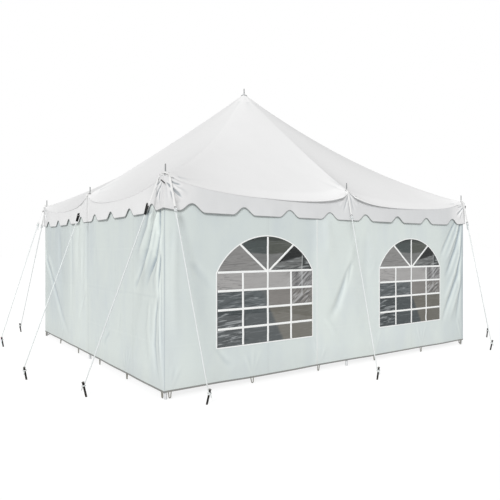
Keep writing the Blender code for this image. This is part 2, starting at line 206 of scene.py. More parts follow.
SIDE_FOLDS = (
    (0.030, 0.010, (2.98, 2.10), (2.95, 1.80), (2.86, 1.55), (2.74, 1.34)),
    (0.038, -0.034, (2.93, 2.44), (2.90, 2.18), (2.88, 2.00), (2.82, 1.86), (2.76, 1.73), (2.60, 1.53),
     (2.40, 1.24)),
    (0.036, 0.020, (2.88, 2.42), (2.80, 2.13), (2.67, 1.85), (2.50, 1.62), (2.32, 1.40)),
    (0.042, -0.034, (2.85, 2.44), (2.78, 2.24), (2.70, 2.12), (2.59, 1.95), (2.52, 1.84), (2.38, 1.68),
     (2.12, 1.42)),
    (0.040, 0.016, (2.72, 2.44), (2.58, 2.12), (2.38, 1.88), (2.17, 1.66)),
    (0.050, -0.008, (2.60, 2.42), (2.42, 2.10), (2.18, 1.84)),
    (0.024, -0.012, (2.96, 1.86), (2.94, 1.70), (2.90, 1.50), (2.88, 1.36), (2.92, 1.18), (2.94, 0.96)),
    (0.040, -0.008, (2.40, 1.66), (2.20, 1.42), (2.04, 1.28)),
    (0.034, -0.010, (2.88, 1.30), (2.78, 0.95), (2.747, 0.625), (2.871, 0.122)),
    (0.024, 0.012, (2.94, 1.60), (2.93, 0.90), (2.96, 0.20)),
    (0.050, 0.005, (2.62, 1.20), (2.56, 0.80), (2.66, 0.30)),
    (0.090, 0.013, (-0.10, 2.40), (-0.118, 2.00), (-0.118, 1.20), (-0.20, 0.69)),
    (0.085, -0.010, (-0.55, 2.36), (-0.66, 1.90), (-0.62, 1.25)),
    (0.035, 0.004, (-0.36, 2.00), (-0.40, 1.50), (-0.30, 1.10)),
    (0.045, -0.009, (-0.09, 1.113), (-0.36, 0.85), (-0.583, 0.608)),
    (0.060, -0.007, (-1.05, 2.30), (-1.035, 1.60), (-1.035, 0.30)),
    (0.055, -0.014, (-2.98, 2.10), (-2.90, 1.62), (-2.40, 1.20), (-1.72, 0.57), (-1.00, 0.14)),
    (0.080, 0.012, (-2.80, 1.80), (-2.30, 1.36), (-1.60, 0.76)),
    (0.120, -0.010, (-1.90, 2.30), (-1.80, 1.50), (-1.50, 1.00)),
    (0.040, -0.004, (1.10, 0.60), (0.90, 0.46), (0.80, 0.34)),
)

# Painted shade and light of the walls: place along the wall, then how far it leans to the darker, bluer cloth
# as painted shade; below nothing, painted light
FRONT_PAINTED_SHADE = (
    (-3.05, 0.02), (-2.85, 0.10), (-2.60, 0.40), (-1.60, 0.42), (-0.76, 0.40), (-0.62, -0.10),
    (-0.20, 0.10), (0.40, 0.04), (0.80, 0.10), (2.30, 0.20), (2.60, 0.60), (2.95, 0.80), (3.02, 1.40),
)
SIDE_PAINTED_SHADE = (
    (-3.05, 0.20), (-2.80, 0.45), (-1.60, 0.50), (-1.32, 0.42), (-1.12, 0.05), (-0.80, -0.25), (-0.56, -0.75),
    (-0.30, -1.10), (-0.14, -1.10), (-0.02, 0.10), (0.90, 0.12), (1.80, 0.12), (2.60, 0.20), (2.96, 0.05),
)
# Level creases where the walls were folded for transport: height and depth
CREASES = ((1.835, 0.0012), (1.222, -0.0016), (0.640, 0.0012))

# Pleats that fan out from a pin down a valance: half width and depth, then points (aside, drop)
CORNER_PLEATS = (
    (0.020, 0.005, (0.00, 0.05), (0.05, 0.34)),
    (0.013, -0.005, (0.01, 0.06), (0.10, 0.34)),
    (0.020, 0.014, (0.02, 0.12), (0.09, 0.22), (0.15, 0.32)),
    (0.012, -0.024, (-0.02, 0.07), (0.05, 0.125), (0.13, 0.19), (0.22, 0.265)),
    (0.016, 0.012, (0.02, 0.07), (0.13, 0.145), (0.27, 0.22)),
    (0.010, -0.010, (0.03, 0.05), (0.11, 0.08), (0.20, 0.10)),
)
MIDDLE_PLEATS = (
    (0.018, -0.0035, (-0.03, 0.02), (-0.26, 0.14)),
    (0.022, 0.0035, (-0.02, 0.03), (-0.22, 0.25)),
    (0.016, -0.0050, (-0.01, 0.03), (-0.12, 0.33)),
    (0.018, 0.0040, (0.01, 0.03), (0.05, 0.36)),
    (0.015, -0.0035, (0.02, 0.03), (0.13, 0.33)),
    (0.022, 0.0035, (0.02, 0.03), (0.24, 0.23)),
)
VALANCE_PLEATS = ((-PIN_LINE, CORNER_PLEATS), (0.0, MIDDLE_PLEATS), (PIN_LINE, CORNER_PLEATS))


# Shared helpers


def smooth(value):
    """Eases a share from 0 to 1."""
    share = np.clip(value, 0.0, 1.0)
    return share * share * (3.0 - 2.0 * share)


def bell(gap, width):
    """1 where the gap is nothing, and less the wider it is."""
    return np.exp(-((gap / width) ** 2))


def hills(u, v, seed):
    """Smooth hills and hollows from -1 to 1, about one for each unit of u and v."""

    def corner(i, j):
        mixed = np.sin(i * 127.1 + j * 311.7 + seed * 74.7) * 43758.5453
        return 2.0 * (mixed - np.floor(mixed)) - 1.0

    i, j = np.floor(u), np.floor(v)
    across, up = smooth(u - i), smooth(v - j)
    low = corner(i, j) * (1.0 - across) + corner(i + 1, j) * across
    high = corner(i, j + 1) * (1.0 - across) + corner(i + 1, j + 1) * across
    return low * (1.0 - up) + high * up


def far_and_near(x, y):
    """The larger and the smaller of a place's distances from the tent's two middle lines."""
    return np.maximum(np.abs(x), np.abs(y)), np.minimum(np.abs(x), np.abs(y))


def scaled(colour, share):
    return tuple(share * c for c in colour)


def deselect():
    for obj in bpy.context.selected_objects:
        obj.select_set(False)


def pick(obj):
    deselect()
    obj.select_set(True)
    bpy.context.view_layer.objects.active = obj


def edit(obj, action="SELECT"):
    """Opens a piece's mesh with all or none of it selected."""
    pick(obj)
    bpy.ops.object.mode_set(mode="EDIT")
    bpy.ops.mesh.select_all(action=action)


def close():
    bpy.ops.object.mode_set(mode="OBJECT")


def named(obj, name):
    obj.name = name
    obj.data.name = name
    return obj


def linked(name, data):
    """New object in the scene."""
    obj = bpy.data.objects.new(name, data)
    bpy.context.scene.collection.objects.link(obj)
    return obj


def on_side(index, along, out, height):
    """Places in the tent's frame for places on one side, whose plane is the wall line plus out."""
    turn = index * math.pi / 2
    x, y = along, -(WALL_LINE + out)
    across = x * math.cos(turn) - y * math.sin(turn)
    ahead = x * math.sin(turn) + y * math.cos(turn)
    return np.stack([across, ahead, np.broadcast_to(height, np.shape(x))], axis=-1)


def side_facing(index):
    turn = index * math.pi / 2
    return np.array((math.sin(turn), -math.cos(turn), 0.0))


def stations(stops, counts):
    """Places along a line, evenly spaced between one stop and the next."""
    places = []
    for low, high, count in zip(stops, stops[1:], counts):
        places += [low + (high - low) * i / count for i in range(count)]
    return np.array(places + [stops[-1]])


def lengths(points):
    """Length along a path at each of its points."""
    return np.concatenate([[0.0], np.cumsum(np.linalg.norm(np.diff(points, axis=0), axis=1))])


def unit(rows):
    return rows / np.linalg.norm(rows, axis=1)[:, None]


def set_uv(obj, uv):
    """Gives a mesh a UV map in metres, from one pair for each vertex."""
    mesh = obj.data
    layer = mesh.uv_layers.get("cloth") or mesh.uv_layers.new(name="cloth")
    corner = np.empty(len(mesh.loops), np.int32)
    mesh.loops.foreach_get("vertex_index", corner)
    layer.data.foreach_set("uv", np.asarray(uv, float)[corner].ravel())


def hollow_share(surface, u, v, reach, depth, deepest=1.0):
    """How far a place lies in a hollow of a surface, from -1 on a ridge to 1 or more in a valley."""
    around = np.zeros(np.shape(u))
    for i in range(8):
        angle = math.pi * i / 4
        around += surface(u + reach * math.cos(angle), v + reach * math.sin(angle)) / 8
    return np.clip((around - surface(u, v)) / depth, -1.0, deepest)


def set_shade(obj, shade):
    """Gives a cloth's vertices their fold shade: above nothing their material paints shade into the colour,
    below nothing it paints light.
    """
    layer = obj.data.attributes.new("fold_shade", "FLOAT", "POINT")
    layer.data.foreach_set("value", np.asarray(shade, np.float32))


def cloth_grid(name, columns, rows, shape, uv):
    """Sheet from a grid: shape(column, row) places each crossing, and uv places it on the flat cloth."""
    deselect()
    across, up = len(columns) - 1, len(rows) - 1
    bpy.ops.mesh.primitive_grid_add(x_subdivisions=across, y_subdivisions=up, size=1.0, calc_uvs=False)
    sheet = named(bpy.context.object, name)
    flat = np.empty(len(sheet.data.vertices) * 3)
    sheet.data.vertices.foreach_get("co", flat)
    flat = flat.reshape(-1, 3)
    column = columns[np.rint((flat[:, 0] + 0.5) * across).astype(int)]
    row = rows[np.rint((flat[:, 1] + 0.5) * up).astype(int)]
    sheet.data.vertices.foreach_set("co", shape(column, row).ravel())
    set_uv(sheet, np.stack(uv(column, row), axis=-1))
    sheet.data.update()
    pick(sheet)
    bpy.ops.object.shade_smooth()
    return sheet, column, row


def delete_faces(sheet, hole):
    """Deletes the faces whose corners all lie in the hole, given as one flag for each vertex."""
    edit(sheet, "DESELECT")
    close()
    for face in sheet.data.polygons:
        face.select = all(hole[i] for i in face.vertices)
    bpy.ops.object.mode_set(mode="EDIT")
    bpy.ops.mesh.select_mode(type="FACE")
    bpy.ops.mesh.delete(type="FACE")
    close()


def ribbon_parts(points, facing, half_width, thick, closed=False):
    """Vertices, faces and UVs of a flat band along a path; facing is its outward direction at each point."""
    points = np.asarray(points, float)
    facing = np.broadcast_to(np.asarray(facing, float), points.shape)
    half_width = np.broadcast_to(np.asarray(half_width, float), len(points))[:, None]
    ahead = np.roll(points, -1, 0) - np.roll(points, 1, 0)
    if not closed:
        ahead[0], ahead[-1] = points[1] - points[0], points[-1] - points[-2]
    ahead = unit(ahead)
    across = unit(np.cross(facing, ahead))
    facing = np.cross(ahead, across)
    rim = thick * 0.5
    section = ((-1.0, 0.0), (-0.9, rim), (0.9, rim), (1.0, 0.0), (0.9, -rim), (-0.9, -rim))
    rings = [points + across * half_width * w + facing * h for w, h in section]
    count, size = len(points), len(section)
    vertices = np.stack(rings, axis=1).reshape(-1, 3)
    faces = []
    for i in range(count if closed else count - 1):
        a, b = i * size, (i + 1) % count * size
        faces += [(a + k, a + (k + 1) % size, b + (k + 1) % size, b + k) for k in range(size)]
    if not closed:
        faces.append(tuple(range(size)))
        faces.append(tuple(reversed(range((count - 1) * size, count * size))))
    uv = np.stack([np.repeat(lengths(points), size), np.tile([w * 0.02 for w, _ in section], count)], axis=1)
    return vertices, faces, uv


def mesh_from_parts(name, parts):
    """One object from several (vertices, faces, uv) parts, with its faces turned outwards."""
    faces, start = [], 0
    for points, part_faces, _ in parts:
        faces += [tuple(start + i for i in face) for face in part_faces]
        start += len(points)
    mesh = bpy.data.meshes.new(name)
    mesh.from_pydata(np.concatenate([part[0] for part in parts]).tolist(), [], faces)
    obj = linked(name, mesh)
    set_uv(obj, np.concatenate([part[2] for part in parts]))
    edit(obj)
    bpy.ops.mesh.normals_make_consistent(inside=False)
    close()
    bpy.ops.object.shade_smooth_by_angle(angle=math.radians(40))
    return obj


def turned(name, profile, steps, ring=False):
    """Solid on the Z axis: a disc extruded up a profile of (radius, height), or a ring round a closed one."""
    deselect()
    radius, height = profile[0]
    fill = "NOTHING" if ring else "NGON"
    place = (0.0, 0.0, height)
    bpy.ops.mesh.primitive_circle_add(vertices=steps, radius=radius, fill_type=fill, location=place)
    piece = named(bpy.context.object, name)
    bpy.ops.object.transform_apply(location=True, rotation=True, scale=True)
    bpy.ops.object.mode_set(mode="EDIT")
    bpy.ops.mesh.select_mode(type="VERT")
    bpy.ops.mesh.select_all(action="SELECT")
    for wide, high in profile[1:]:
        bpy.ops.mesh.extrude_region_move(TRANSFORM_OT_translate={"value": (0.0, 0.0, high - height)})
        share = wide / radius
        bpy.ops.transform.resize(value=(share, share, 1.0), center_override=(0.0, 0.0, high))
        radius, height = wide, high
    bpy.ops.mesh.select_all(action="SELECT")
    if ring:
        bpy.ops.mesh.remove_doubles(threshold=0.00005)
    bpy.ops.mesh.normals_make_consistent(inside=False)
    close()
    bpy.ops.object.shade_smooth_by_angle(angle=math.radians(35))
    return piece


def placed_copy(source, name, matrix):
    """Copy of a finished piece, with its own mesh, moved by a matrix that goes into the mesh."""
    copy = source.copy()
    copy.data = source.data.copy()
    copy.data.transform(matrix)
    bpy.context.scene.collection.objects.link(copy)
    return named(copy, name)


def join(name, pieces):
    pick(pieces[0])
    for piece in pieces:
        piece.select_set(True)
    bpy.ops.object.join()
    return named(bpy.context.object, name)


def finish_piece(obj, material, slot, *nodes):
    """Gives a piece its material, lets it ride on the frame and stand for its nodes; the slot is not used."""
    obj.data.materials.clear()
    obj.data.materials.append(material)
    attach(obj, "root")
    if nodes:
        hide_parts(*nodes)


def put_material(node, material):
    """Gives a node of the frame a better material."""
    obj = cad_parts[node]
    obj.data.materials.clear()
    obj.data.materials.append(material)


# Shapes of the tent's cloth


def roof_top(x, y):
    """Height of the frame's roof over a place on the plan."""
    far, near = far_and_near(x, y)
    out = far / EAVE_HALF
    across = near / np.maximum(far, 1e-6)
    bay = np.minimum(1.0, across * EAVE_HALF / PIN_LINE)
    held = np.exp(-bay / MIDDLE_POLE_DECAY) + np.exp(-(1.0 - bay) / CORNER_POLE_DECAY)
    hollow = RIDGE_HOLLOW + (HIP_HOLLOW - RIDGE_HOLLOW) * across**2
    straight = PEAK_HEIGHT + (EAVE_HEIGHT - PEAK_HEIGHT) * out
    sag = EAVE_SAG * np.maximum(0.0, 1.0 - held) * out**SAG_FADE
    return straight - hollow * 4.0 * out * (1.0 - out) - sag


def roof_folds(x, y):
    """Folds that run out from each pin, soft waves, and a crease down the middle of each side."""
    depth = bpy.context.scene.tent_roof.fold_depth
    rise = np.zeros(np.shape(x))
    for number, (px, py) in enumerate(POLES.values()):
        dx, dy = x - px * PIN_LINE, y - py * PIN_LINE
        reach = np.hypot(dx, dy)
        angle = np.arctan2(dy, dx)
        waves = np.cos(9.0 * angle + 1.3 * np.sin(3.0 * angle + number) + number)
        share = 0.45 if 0 in (px, py) else 1.0
        fade = (1.0 - bell(reach, 0.05)) * np.exp(-reach / 0.30)
        rise += share * depth * np.sign(waves) * np.abs(waves) ** 1.4 * fade
    far, near = far_and_near(x, y)
    out, across = far / EAVE_HALF, near / np.maximum(far, 1e-6)
    inside = 4.0 * out * (1.0 - out)
    rise -= 0.055 * inside * (across - across**2)
    rise += 0.006 * inside * hills(x * 1.1, y * 1.1, 3)
    rise += 0.0016 * hills(x * 4.0, y * 4.0, 5) * smooth(out * 3.0)
    angle = np.arctan2(y, x)
    return rise + 0.006 * np.cos(12.0 * angle + 0.8) * np.exp(-far / 0.45) * smooth(far / 0.15)


def roof_cloth(x, y):
    return roof_top(x, y) + roof_folds(x, y)


def eave_overhang(bay):
    """How far the roof's edge stands out over the valance, most beside the middle pole."""
    return 0.001 + 0.034 * smooth(bay / 0.05) * bell(bay, 0.33)


def roof_columns(count):
    """Places of the roof's grid lines, closer together near the poles, with the rolled edge beyond them."""
    fine = np.linspace(0.0, EAVE_HALF, 2000)
    weight = 1.0 + 1.8 * bell(fine - PIN_LINE, 0.30) + 1.2 * bell(fine, 0.22)
    total = np.concatenate([[0.0], np.cumsum((weight[1:] + weight[:-1]) / 2)])
    inner = np.interp(np.linspace(0.0, total[-1], count // 2 + 1), total, fine)
    half = np.concatenate([inner, EAVE_HALF + 0.01 * np.arange(1, 8)])
    return np.concatenate([-half[::-1], half[1:]])


def roof_place(x, y):
    """Place on the roof's cloth; beyond the eave the cloth stands out a little and rolls under."""
    ex, ey = np.clip(x, -EAVE_HALF, EAVE_HALF), np.clip(y, -EAVE_HALF, EAVE_HALF)
    beyond = np.hypot(x - ex, y - ey)
    share = np.clip(beyond / 0.07, 0.0, 1.0)
    towards = np.stack([x - ex, y - ey], axis=-1) / np.maximum(beyond, 1e-9)[:, None]
    near = far_and_near(ex, ey)[1]
    overhang = eave_overhang(near / PIN_LINE) * np.where(np.abs(ey) > np.abs(ex), 1.0, 0.22)
    radius = 0.003 + 0.34 * overhang
    turn = np.clip((share - 0.3) / 0.7, 0.0, 1.0) * math.radians(150.0)
    straight = overhang * np.clip(share / 0.3, 0.0, 1.0)
    out = straight + radius * np.sin(turn)
    down = 0.45 * straight + radius * (1.0 - np.cos(turn))
    return np.stack([ex + towards[:, 0] * out, ey + towards[:, 1] * out, roof_cloth(ex, ey) - down], axis=-1)


def patch_parts(centre, first, sweep, reach, rings=14, spokes=44):
    """Rounded patch sewn on the roof: a fan of rings about a place on the plan, just above the cloth."""
    out = np.repeat(reach * np.arange(rings + 1) / rings, spokes + 1)
    angle = np.tile(first + sweep * np.arange(spokes + 1) / spokes, rings + 1)
    x = np.clip(centre[0] + out * np.cos(angle), -EAVE_HALF, EAVE_HALF)
    y = np.clip(centre[1] + out * np.sin(angle), -EAVE_HALF, EAVE_HALF)
    lift = np.repeat([PATCH_LIFT] * rings + [PATCH_RIM_LIFT], spokes + 1)
    wide = spokes + 1
    faces = [
        (i * wide + j, i * wide + j + 1, (i + 1) * wide + j + 1, (i + 1) * wide + j)
        for i in range(1, rings)
        for j in range(spokes)
    ]
    faces += [(0, wide + j + 1, wide + j) for j in range(spokes)]
    return np.stack([x, y, roof_cloth(x, y) + lift], axis=1), faces, np.stack([x, y], axis=1)


def polyline_ridge(along, height, points, width):
    """Share of a fold at a place: 1 on its line, less beside it and towards its lower end."""
    best = np.full(np.shape(along), 1e9)
    progress = np.zeros(np.shape(along))
    for number, ((ax, az), (bx, bz)) in enumerate(zip(points, points[1:])):
        dx, dz = bx - ax, bz - az
        share = np.clip(((along - ax) * dx + (height - az) * dz) / (dx * dx + dz * dz), 0.0, 1.0)
        gap = np.hypot(along - ax - share * dx, height - az - share * dz)
        nearer = gap < best
        best = np.where(nearer, gap, best)
        progress = np.where(nearer, (number + share) / (len(points) - 1), progress)
    spread = width * (0.7 + 0.9 * progress)
    return bell(best, spread) * smooth(progress / 0.22) * (1.0 - smooth((progress - 0.62) / 0.38))


def painted_wall_shading(index, along, height):
    """How far a place on a wall is painted darker as shade, or below nothing lighter as painted light,
    mirrored like the folds; less near the hem.
    """
    places, tones = zip(*(FRONT_PAINTED_SHADE if index % 2 == 0 else SIDE_PAINTED_SHADE))
    seen = -along if index in (1, 2) else along
    tone = np.interp(seen, places, tones)
    if index % 2 == 0:
        return tone * (0.75 + 0.25 * smooth(height - 0.3))
    # Painted shade on the side walls' upper part, near the corner at 2.52 along.
    painted_corner_shade = 0.45 * bell(seen - 2.52, 0.30) * smooth((height - 1.25) / 0.4)
    return tone * (0.55 + 0.45 * smooth((height - 0.35) / 0.9)) + painted_corner_shade


def wall_folds(index):
    """Folds of one side: those seen on the front and left walls, mirrored on the back and right ones."""
    folds = list(FRONT_FOLDS if index % 2 == 0 else SIDE_FOLDS)
    if index in (1, 2):
        folds = [(width, depth, *((-a, h) for a, h in points)) for width, depth, *points in folds]
    chance = np.random.default_rng(60 + index)
    for _ in range(9):
        along = chance.uniform(-2.8, 2.8)
        top = chance.uniform(0.9, 2.44)
        length = chance.uniform(0.3, 0.9)
        slant = chance.uniform(-0.25, 0.25)
        low = max(0.12, top - length)
        middle = (along + slant * 0.3, (top + low) / 2)
        width = chance.uniform(0.025, 0.06)
        depth = chance.choice((-1.0, 1.0)) * chance.uniform(0.0012, 0.0026)
        folds.append((width, depth, (along, top), middle, (along + slant, low)))
    for i in range(LOOPS):
        along = (i - (LOOPS - 1) / 2) * LOOP_PITCH
        for slant in (-0.14, 0.02, 0.16):
            end = (along + slant, WALL_HEM + chance.uniform(0.25, 0.5))
            folds.append((0.022, chance.uniform(0.001, 0.003), (along, WALL_HEM), end))
    return folds


WALL_FOLDS = [wall_folds(index) for index in range(4)]


def window_depth(along, height):
    """How far inside a window's rectangle a place lies, and less than nothing outside."""
    across = np.abs(np.abs(along) - WINDOW_OFFSET)
    middle = (WINDOW_SILL + WINDOW_SPRINGING + WINDOW_RISE) / 2
    tall = (WINDOW_SPRINGING + WINDOW_RISE - WINDOW_SILL) / 2
    return np.minimum(WINDOW_HALF - across, tall - np.abs(height - middle))


def wall_bulge(index, along, height):
    """How far the wall's cloth stands out from its plane."""
    along, height = np.broadcast_arrays(np.asarray(along, float), np.asarray(height, float))
    depth = bpy.context.scene.tent_walls.fold_depth
    bulge = np.zeros(along.shape)
    for width, deep, *points in WALL_FOLDS[index]:
        bulge += 1.6 * depth * deep * polyline_ridge(along, height, points, width)
    bulge += 0.010 * hills(along * 0.9 + 7.0, height * 0.6, 11 + index)
    bulge += 0.0022 * hills(along * 2.2, height * 1.5, 21 + index)
    bulge += 0.0008 * hills(along * 8.0, height * 7.0, 31 + index)
    for level, deep in CREASES:
        line = height - level - 0.012 * hills(along * 1.5, height * 0.0, 41 + index)
        bulge += deep * (0.6 + 0.4 * hills(along * 2.0, height * 0.0, 51 + index)) * bell(line, 0.014)
    if index % 2 == 0:
        bulge *= 1.0 - 0.78 * smooth((window_depth(along, height) + 0.16) / 0.20)
    for place in (-PIN_LINE, 0.0, PIN_LINE):
        beside_pole = bell(along - place, 0.05)
        bulge = bulge * (1.0 - beside_pole) + np.maximum(bulge, 0.0) * beside_pole
    bulge *= smooth((WALL_LINE - np.abs(along)) / 0.05)
    bulge *= smooth((WALL_TOP - height) / 0.10) * (0.35 + 0.65 * smooth((height - WALL_HEM) / 0.25))
    under_valance = smooth((height - 2.20) / 0.10)
    return np.clip(bulge, -0.060, 0.050 - 0.042 * under_valance)


def arch_height(across):
    """Height of a window's arch at a distance from its middle."""
    radius = (WINDOW_HALF**2 + WINDOW_RISE**2) / (2.0 * WINDOW_RISE)
    return WINDOW_SPRINGING + WINDOW_RISE - radius + np.sqrt(np.maximum(radius**2 - across**2, 0.0))


def window_outline(steps=60, rises=36):
    """Points round a window's opening, as (across, height), from its lower left corner."""
    sill = [(-WINDOW_HALF + 2 * WINDOW_HALF * i / steps, WINDOW_SILL) for i in range(steps)]
    rise = WINDOW_SPRINGING - WINDOW_SILL
    up = [(WINDOW_HALF, WINDOW_SILL + rise * i / rises) for i in range(rises)]
    over = [WINDOW_HALF * math.cos(math.pi * i / steps) for i in range(steps)]
    arch = [(across, float(arch_height(across))) for across in over]
    down = [(-WINDOW_HALF, WINDOW_SPRINGING - rise * i / rises) for i in range(rises)]
    return np.array(sill + up + arch + down)


def film_wrinkles(index, along, height):
    """Small wrinkles of the clear film, mostly level, calmed towards its edges."""
    shift = 0.4 * hills(along * 3.0, height * 3.0, 71 + index)
    level = hills(along * 4.0 + index, height * 26.0 + shift * 5.0, 73)
    slanting = hills(along * 14.0 + height * 9.0, height * 15.0 - along * 7.0, 75)
    broad = hills(along * 3.0, height * 7.0, 77)
    inside = smooth(window_depth(along, height) / 0.07)
    return (0.0016 * level + 0.0011 * slanting + 0.0035 * broad) * inside


def valance_top(along):
    """Height where a valance leaves the roof, at a place along its side."""
    return roof_top(along, EAVE_HALF) - 0.006


def valance_hem(along):
    pitch = 2.0 * EAVE_HALF / SCALLOPS
    across = (along / pitch) % 1.0 - 0.5
    share = np.clip(across * pitch / NOTCH_HALF_WIDTH, -1.0, 1.0)
    notch = NOTCH_DEPTH * (0.5 + 0.5 * np.cos(np.pi * share))
    lift = CORNER_LIFT * np.exp(-(EAVE_HALF - np.abs(along)) / CORNER_LIFT_REACH)
    return VALANCE_HEM + notch + lift


def valance_bulge(index, along, down):
    """How far a valance stands out at a share of its drop: waves, curls, and pleats at the poles."""
    phase = 2.0 * np.pi * along / (2.0 * EAVE_HALF / SCALLOPS)
    curl = 0.005 * (0.5 + 0.5 * np.cos(phase)) * down**2
    wave = 0.004 * (1.0 + hills(along * 2.3 + 5.0 * index, down * 0.8, 81 + index)) * down
    ripple = 0.002 * hills(along * 8.0, down * 1.5, 85 + index) * down
    pleats = np.zeros(np.shape(along))
    top = valance_top(along)
    height = top + (valance_hem(along) - top) * down
    for place, lines in VALANCE_PLEATS:
        inward = (along - place) * (-1.0 if place > 0.0 else 1.0)
        drop = valance_top(place) - height
        gathered = 1.0 if (index, place) in ((0, -PIN_LINE), (3, PIN_LINE), (0, 0.0)) else 0.55
        for width, deep, *points in lines:
            pleats += gathered * deep * polyline_ridge(inward, drop, points, width)
    return np.maximum(0.004 - 0.010 * down + curl + wave + ripple + pleats, -0.009)


def valance_place(index, along, down):
    """Place of a valance's cloth; at the corners it stands out along the diagonal."""
    top, hem = valance_top(along), valance_hem(along)
    from_corner = EAVE_HALF - np.abs(along)
    turn = 1.0 - smooth(from_corner / 0.12)
    shared = 0.006 + 0.002 * down
    out = valance_bulge(index, along, down) * (1.0 - turn) + shared * turn
    spread = along + np.sign(along) * (1.0 - smooth(from_corner / 0.03)) * shared
    return on_side(index, spread, EAVE_HALF - WALL_LINE - 0.003 + out, top + (hem - top) * down)


# Shader nodes


class Nodes:
    """Adds nodes to one shader tree; what goes into a node is a value or another node's socket."""

    def __init__(self, tree):
        self.tree = tree

    def feed(self, socket, value):
        if isinstance(value, bpy.types.NodeSocket):
            self.tree.links.new(value, socket)
        else:
            socket.default_value = value

    def fill(self, node, inputs):
        for name, value in inputs.items():
            self.feed(node.inputs[name.replace("_", " ")], value)
        return node.outputs

    def add(self, kind, settings=None, **inputs):
        """Adds a node; settings are its own fields, and inputs go by name."""
        node = self.tree.nodes.new(f"ShaderNode{kind}")
        for field, value in (settings or {}).items():
            setattr(node, field, value)
        return self.fill(node, inputs)

    def effect(self, name, **inputs):
        """Adds one of the shared effects."""
        node = self.tree.nodes.new("ShaderNodeGroup")
        node.node_tree = effect_group(name)
        return self.fill(node, inputs)

    def math(self, operation, *values, clamp=False):
        node = self.tree.nodes.new("ShaderNodeMath")
        node.operation = operation
        node.use_clamp = clamp
        for socket, value in zip(node.inputs, values):
            self.feed(socket, value)
        return node.outputs[0]

    def times(self, *values, clamp=False):
        return self.math("MULTIPLY", *values, clamp=clamp)

    def minus(self, *values, clamp=False):
        return self.math("SUBTRACT", *values, clamp=clamp)

    def line(self, value, slope, start):
        return self.math("MULTIPLY_ADD", value, slope, start)

    def mix(self, share, low, high):
        """Colour mix of two colours or sockets by a share."""
        node = self.tree.nodes.new("ShaderNodeMix")
        node.data_type = "RGBA"
        node.clamp_factor = True
        for place, value in ((0, share), (6, low), (7, high)):
            self.feed(node.inputs[place], (*value, 1.0) if isinstance(value, tuple) else value)
        return node.outputs[2]

    def noise(self, vector, scale, detail, **inputs):
        return self.add("TexNoise", Vector=vector, Scale=scale, Detail=detail, **inputs)["Fac"]

    def split(self, vector):
        return tuple(self.add("SeparateXYZ", Vector=vector))

    def between(self, value, low, high, settings=None):
        """Share of the way from low to high."""
        return self.add("MapRange", settings, Value=value, From_Min=low, From_Max=high)["Result"]

    def eased(self, value, low, high):
        return self.between(value, low, high, {"interpolation_type": "SMOOTHSTEP"})

    def on_cloth(self):
        return self.add("UVMap", {"uv_map": "cloth"})["UV"]


def coated_weave(nodes, given):
    """Plain weave under a coating: crossing threads, as a height and a painted shade."""
    across, along, _ = nodes.split(given["Vector"])
    warp = nodes.math("SINE", nodes.times(across, given["Threads"]))
    weft = nodes.math("SINE", nodes.times(along, given["Threads"]))
    crossing = nodes.times(warp, weft)
    return nodes.line(crossing, 0.5, 0.5), nodes.line(crossing, 0.04, 1.0)


def handling_and_dust(nodes, given):
    """Soft uneven tone from handling, and dust as a mask that is strongest near the ground."""
    cloud = nodes.noise(given["Vector"], given["Scale"], detail=4.0, Roughness=0.6)
    specks = nodes.noise(given["Vector"], scale=14.0, detail=5.0)
    low = nodes.math("DIVIDE", nodes.split(given["Vector"])[2], given["Dust height"])
    return cloud, nodes.times(nodes.minus(1.0, low, clamp=True), specks, clamp=True)


def sewn_seam(nodes, given):
    """Sewn seam at a place along the cloth: its raised overlap and two rows of stitches; its shade is painted
    shade along the overlap's edge plus the stitches' own thread colour.
    """
    gap = nodes.math("ABSOLUTE", nodes.minus(given["Across"], given["Place"]))
    over = nodes.minus(given["Half width"], gap)
    raised = nodes.times(over, 400.0, clamp=True)
    row = nodes.math("ABSOLUTE", nodes.minus(over, 0.004))
    thread = nodes.minus(1.0, nodes.math("DIVIDE", row, 0.0018), clamp=True)
    dash = nodes.math("GREATER_THAN", nodes.math("SINE", nodes.times(given["Along"], 900.0)), -0.2)
    stitch = nodes.times(thread, dash)
    edge = nodes.minus(1.0, nodes.math("DIVIDE", nodes.math("ABSOLUTE", over), 0.004), clamp=True)
    height = nodes.minus(raised, nodes.times(stitch, 0.6))
    return height, nodes.math("MAXIMUM", edge, nodes.times(stitch, 0.7))


# Shared effects: how each is made, its inputs with their defaults, and its outputs
EFFECTS = {
    "Coated weave": (coated_weave, {"Vector": None, "Threads": 700.0}, ("Height", "Shade")),
    "Handling and dust": (
        handling_and_dust,
        {"Vector": None, "Scale": 1.5, "Dust height": 0.35},
        ("Tone", "Dust"),
    ),
    "Sewn seam": (
        sewn_seam,
        {"Across": 0.0, "Along": 0.0, "Place": 0.0, "Half width": 0.014},
        ("Height", "Shade"),
    ),
}


def effect_group(name):
    """Node group of a shared effect, made the first time that a material asks for it."""
    if name in bpy.data.node_groups:
        return bpy.data.node_groups[name]
    make, inputs, outputs = EFFECTS[name]
    tree = bpy.data.node_groups.new(name, "ShaderNodeTree")
    for title, default in inputs.items():
        kind = "NodeSocketVector" if default is None else "NodeSocketFloat"
        socket = tree.interface.new_socket(title, in_out="INPUT", socket_type=kind)
        if default is not None:
            socket.default_value = default
    for title in outputs:
        tree.interface.new_socket(title, in_out="OUTPUT", socket_type="NodeSocketFloat")
    given = tree.nodes.new("NodeGroupInput").outputs
    out = tree.nodes.new("NodeGroupOutput").inputs
    for title, value in zip(outputs, make(Nodes(tree), given)):
        tree.links.new(value, out[title])
    return tree


# Materials


def once(make):
    """Makes a material only where there is none of its name yet."""

    def find_or_make(name, *values, **choices):
        return bpy.data.materials.get(name) or make(name, *values, **choices)

    return find_or_make


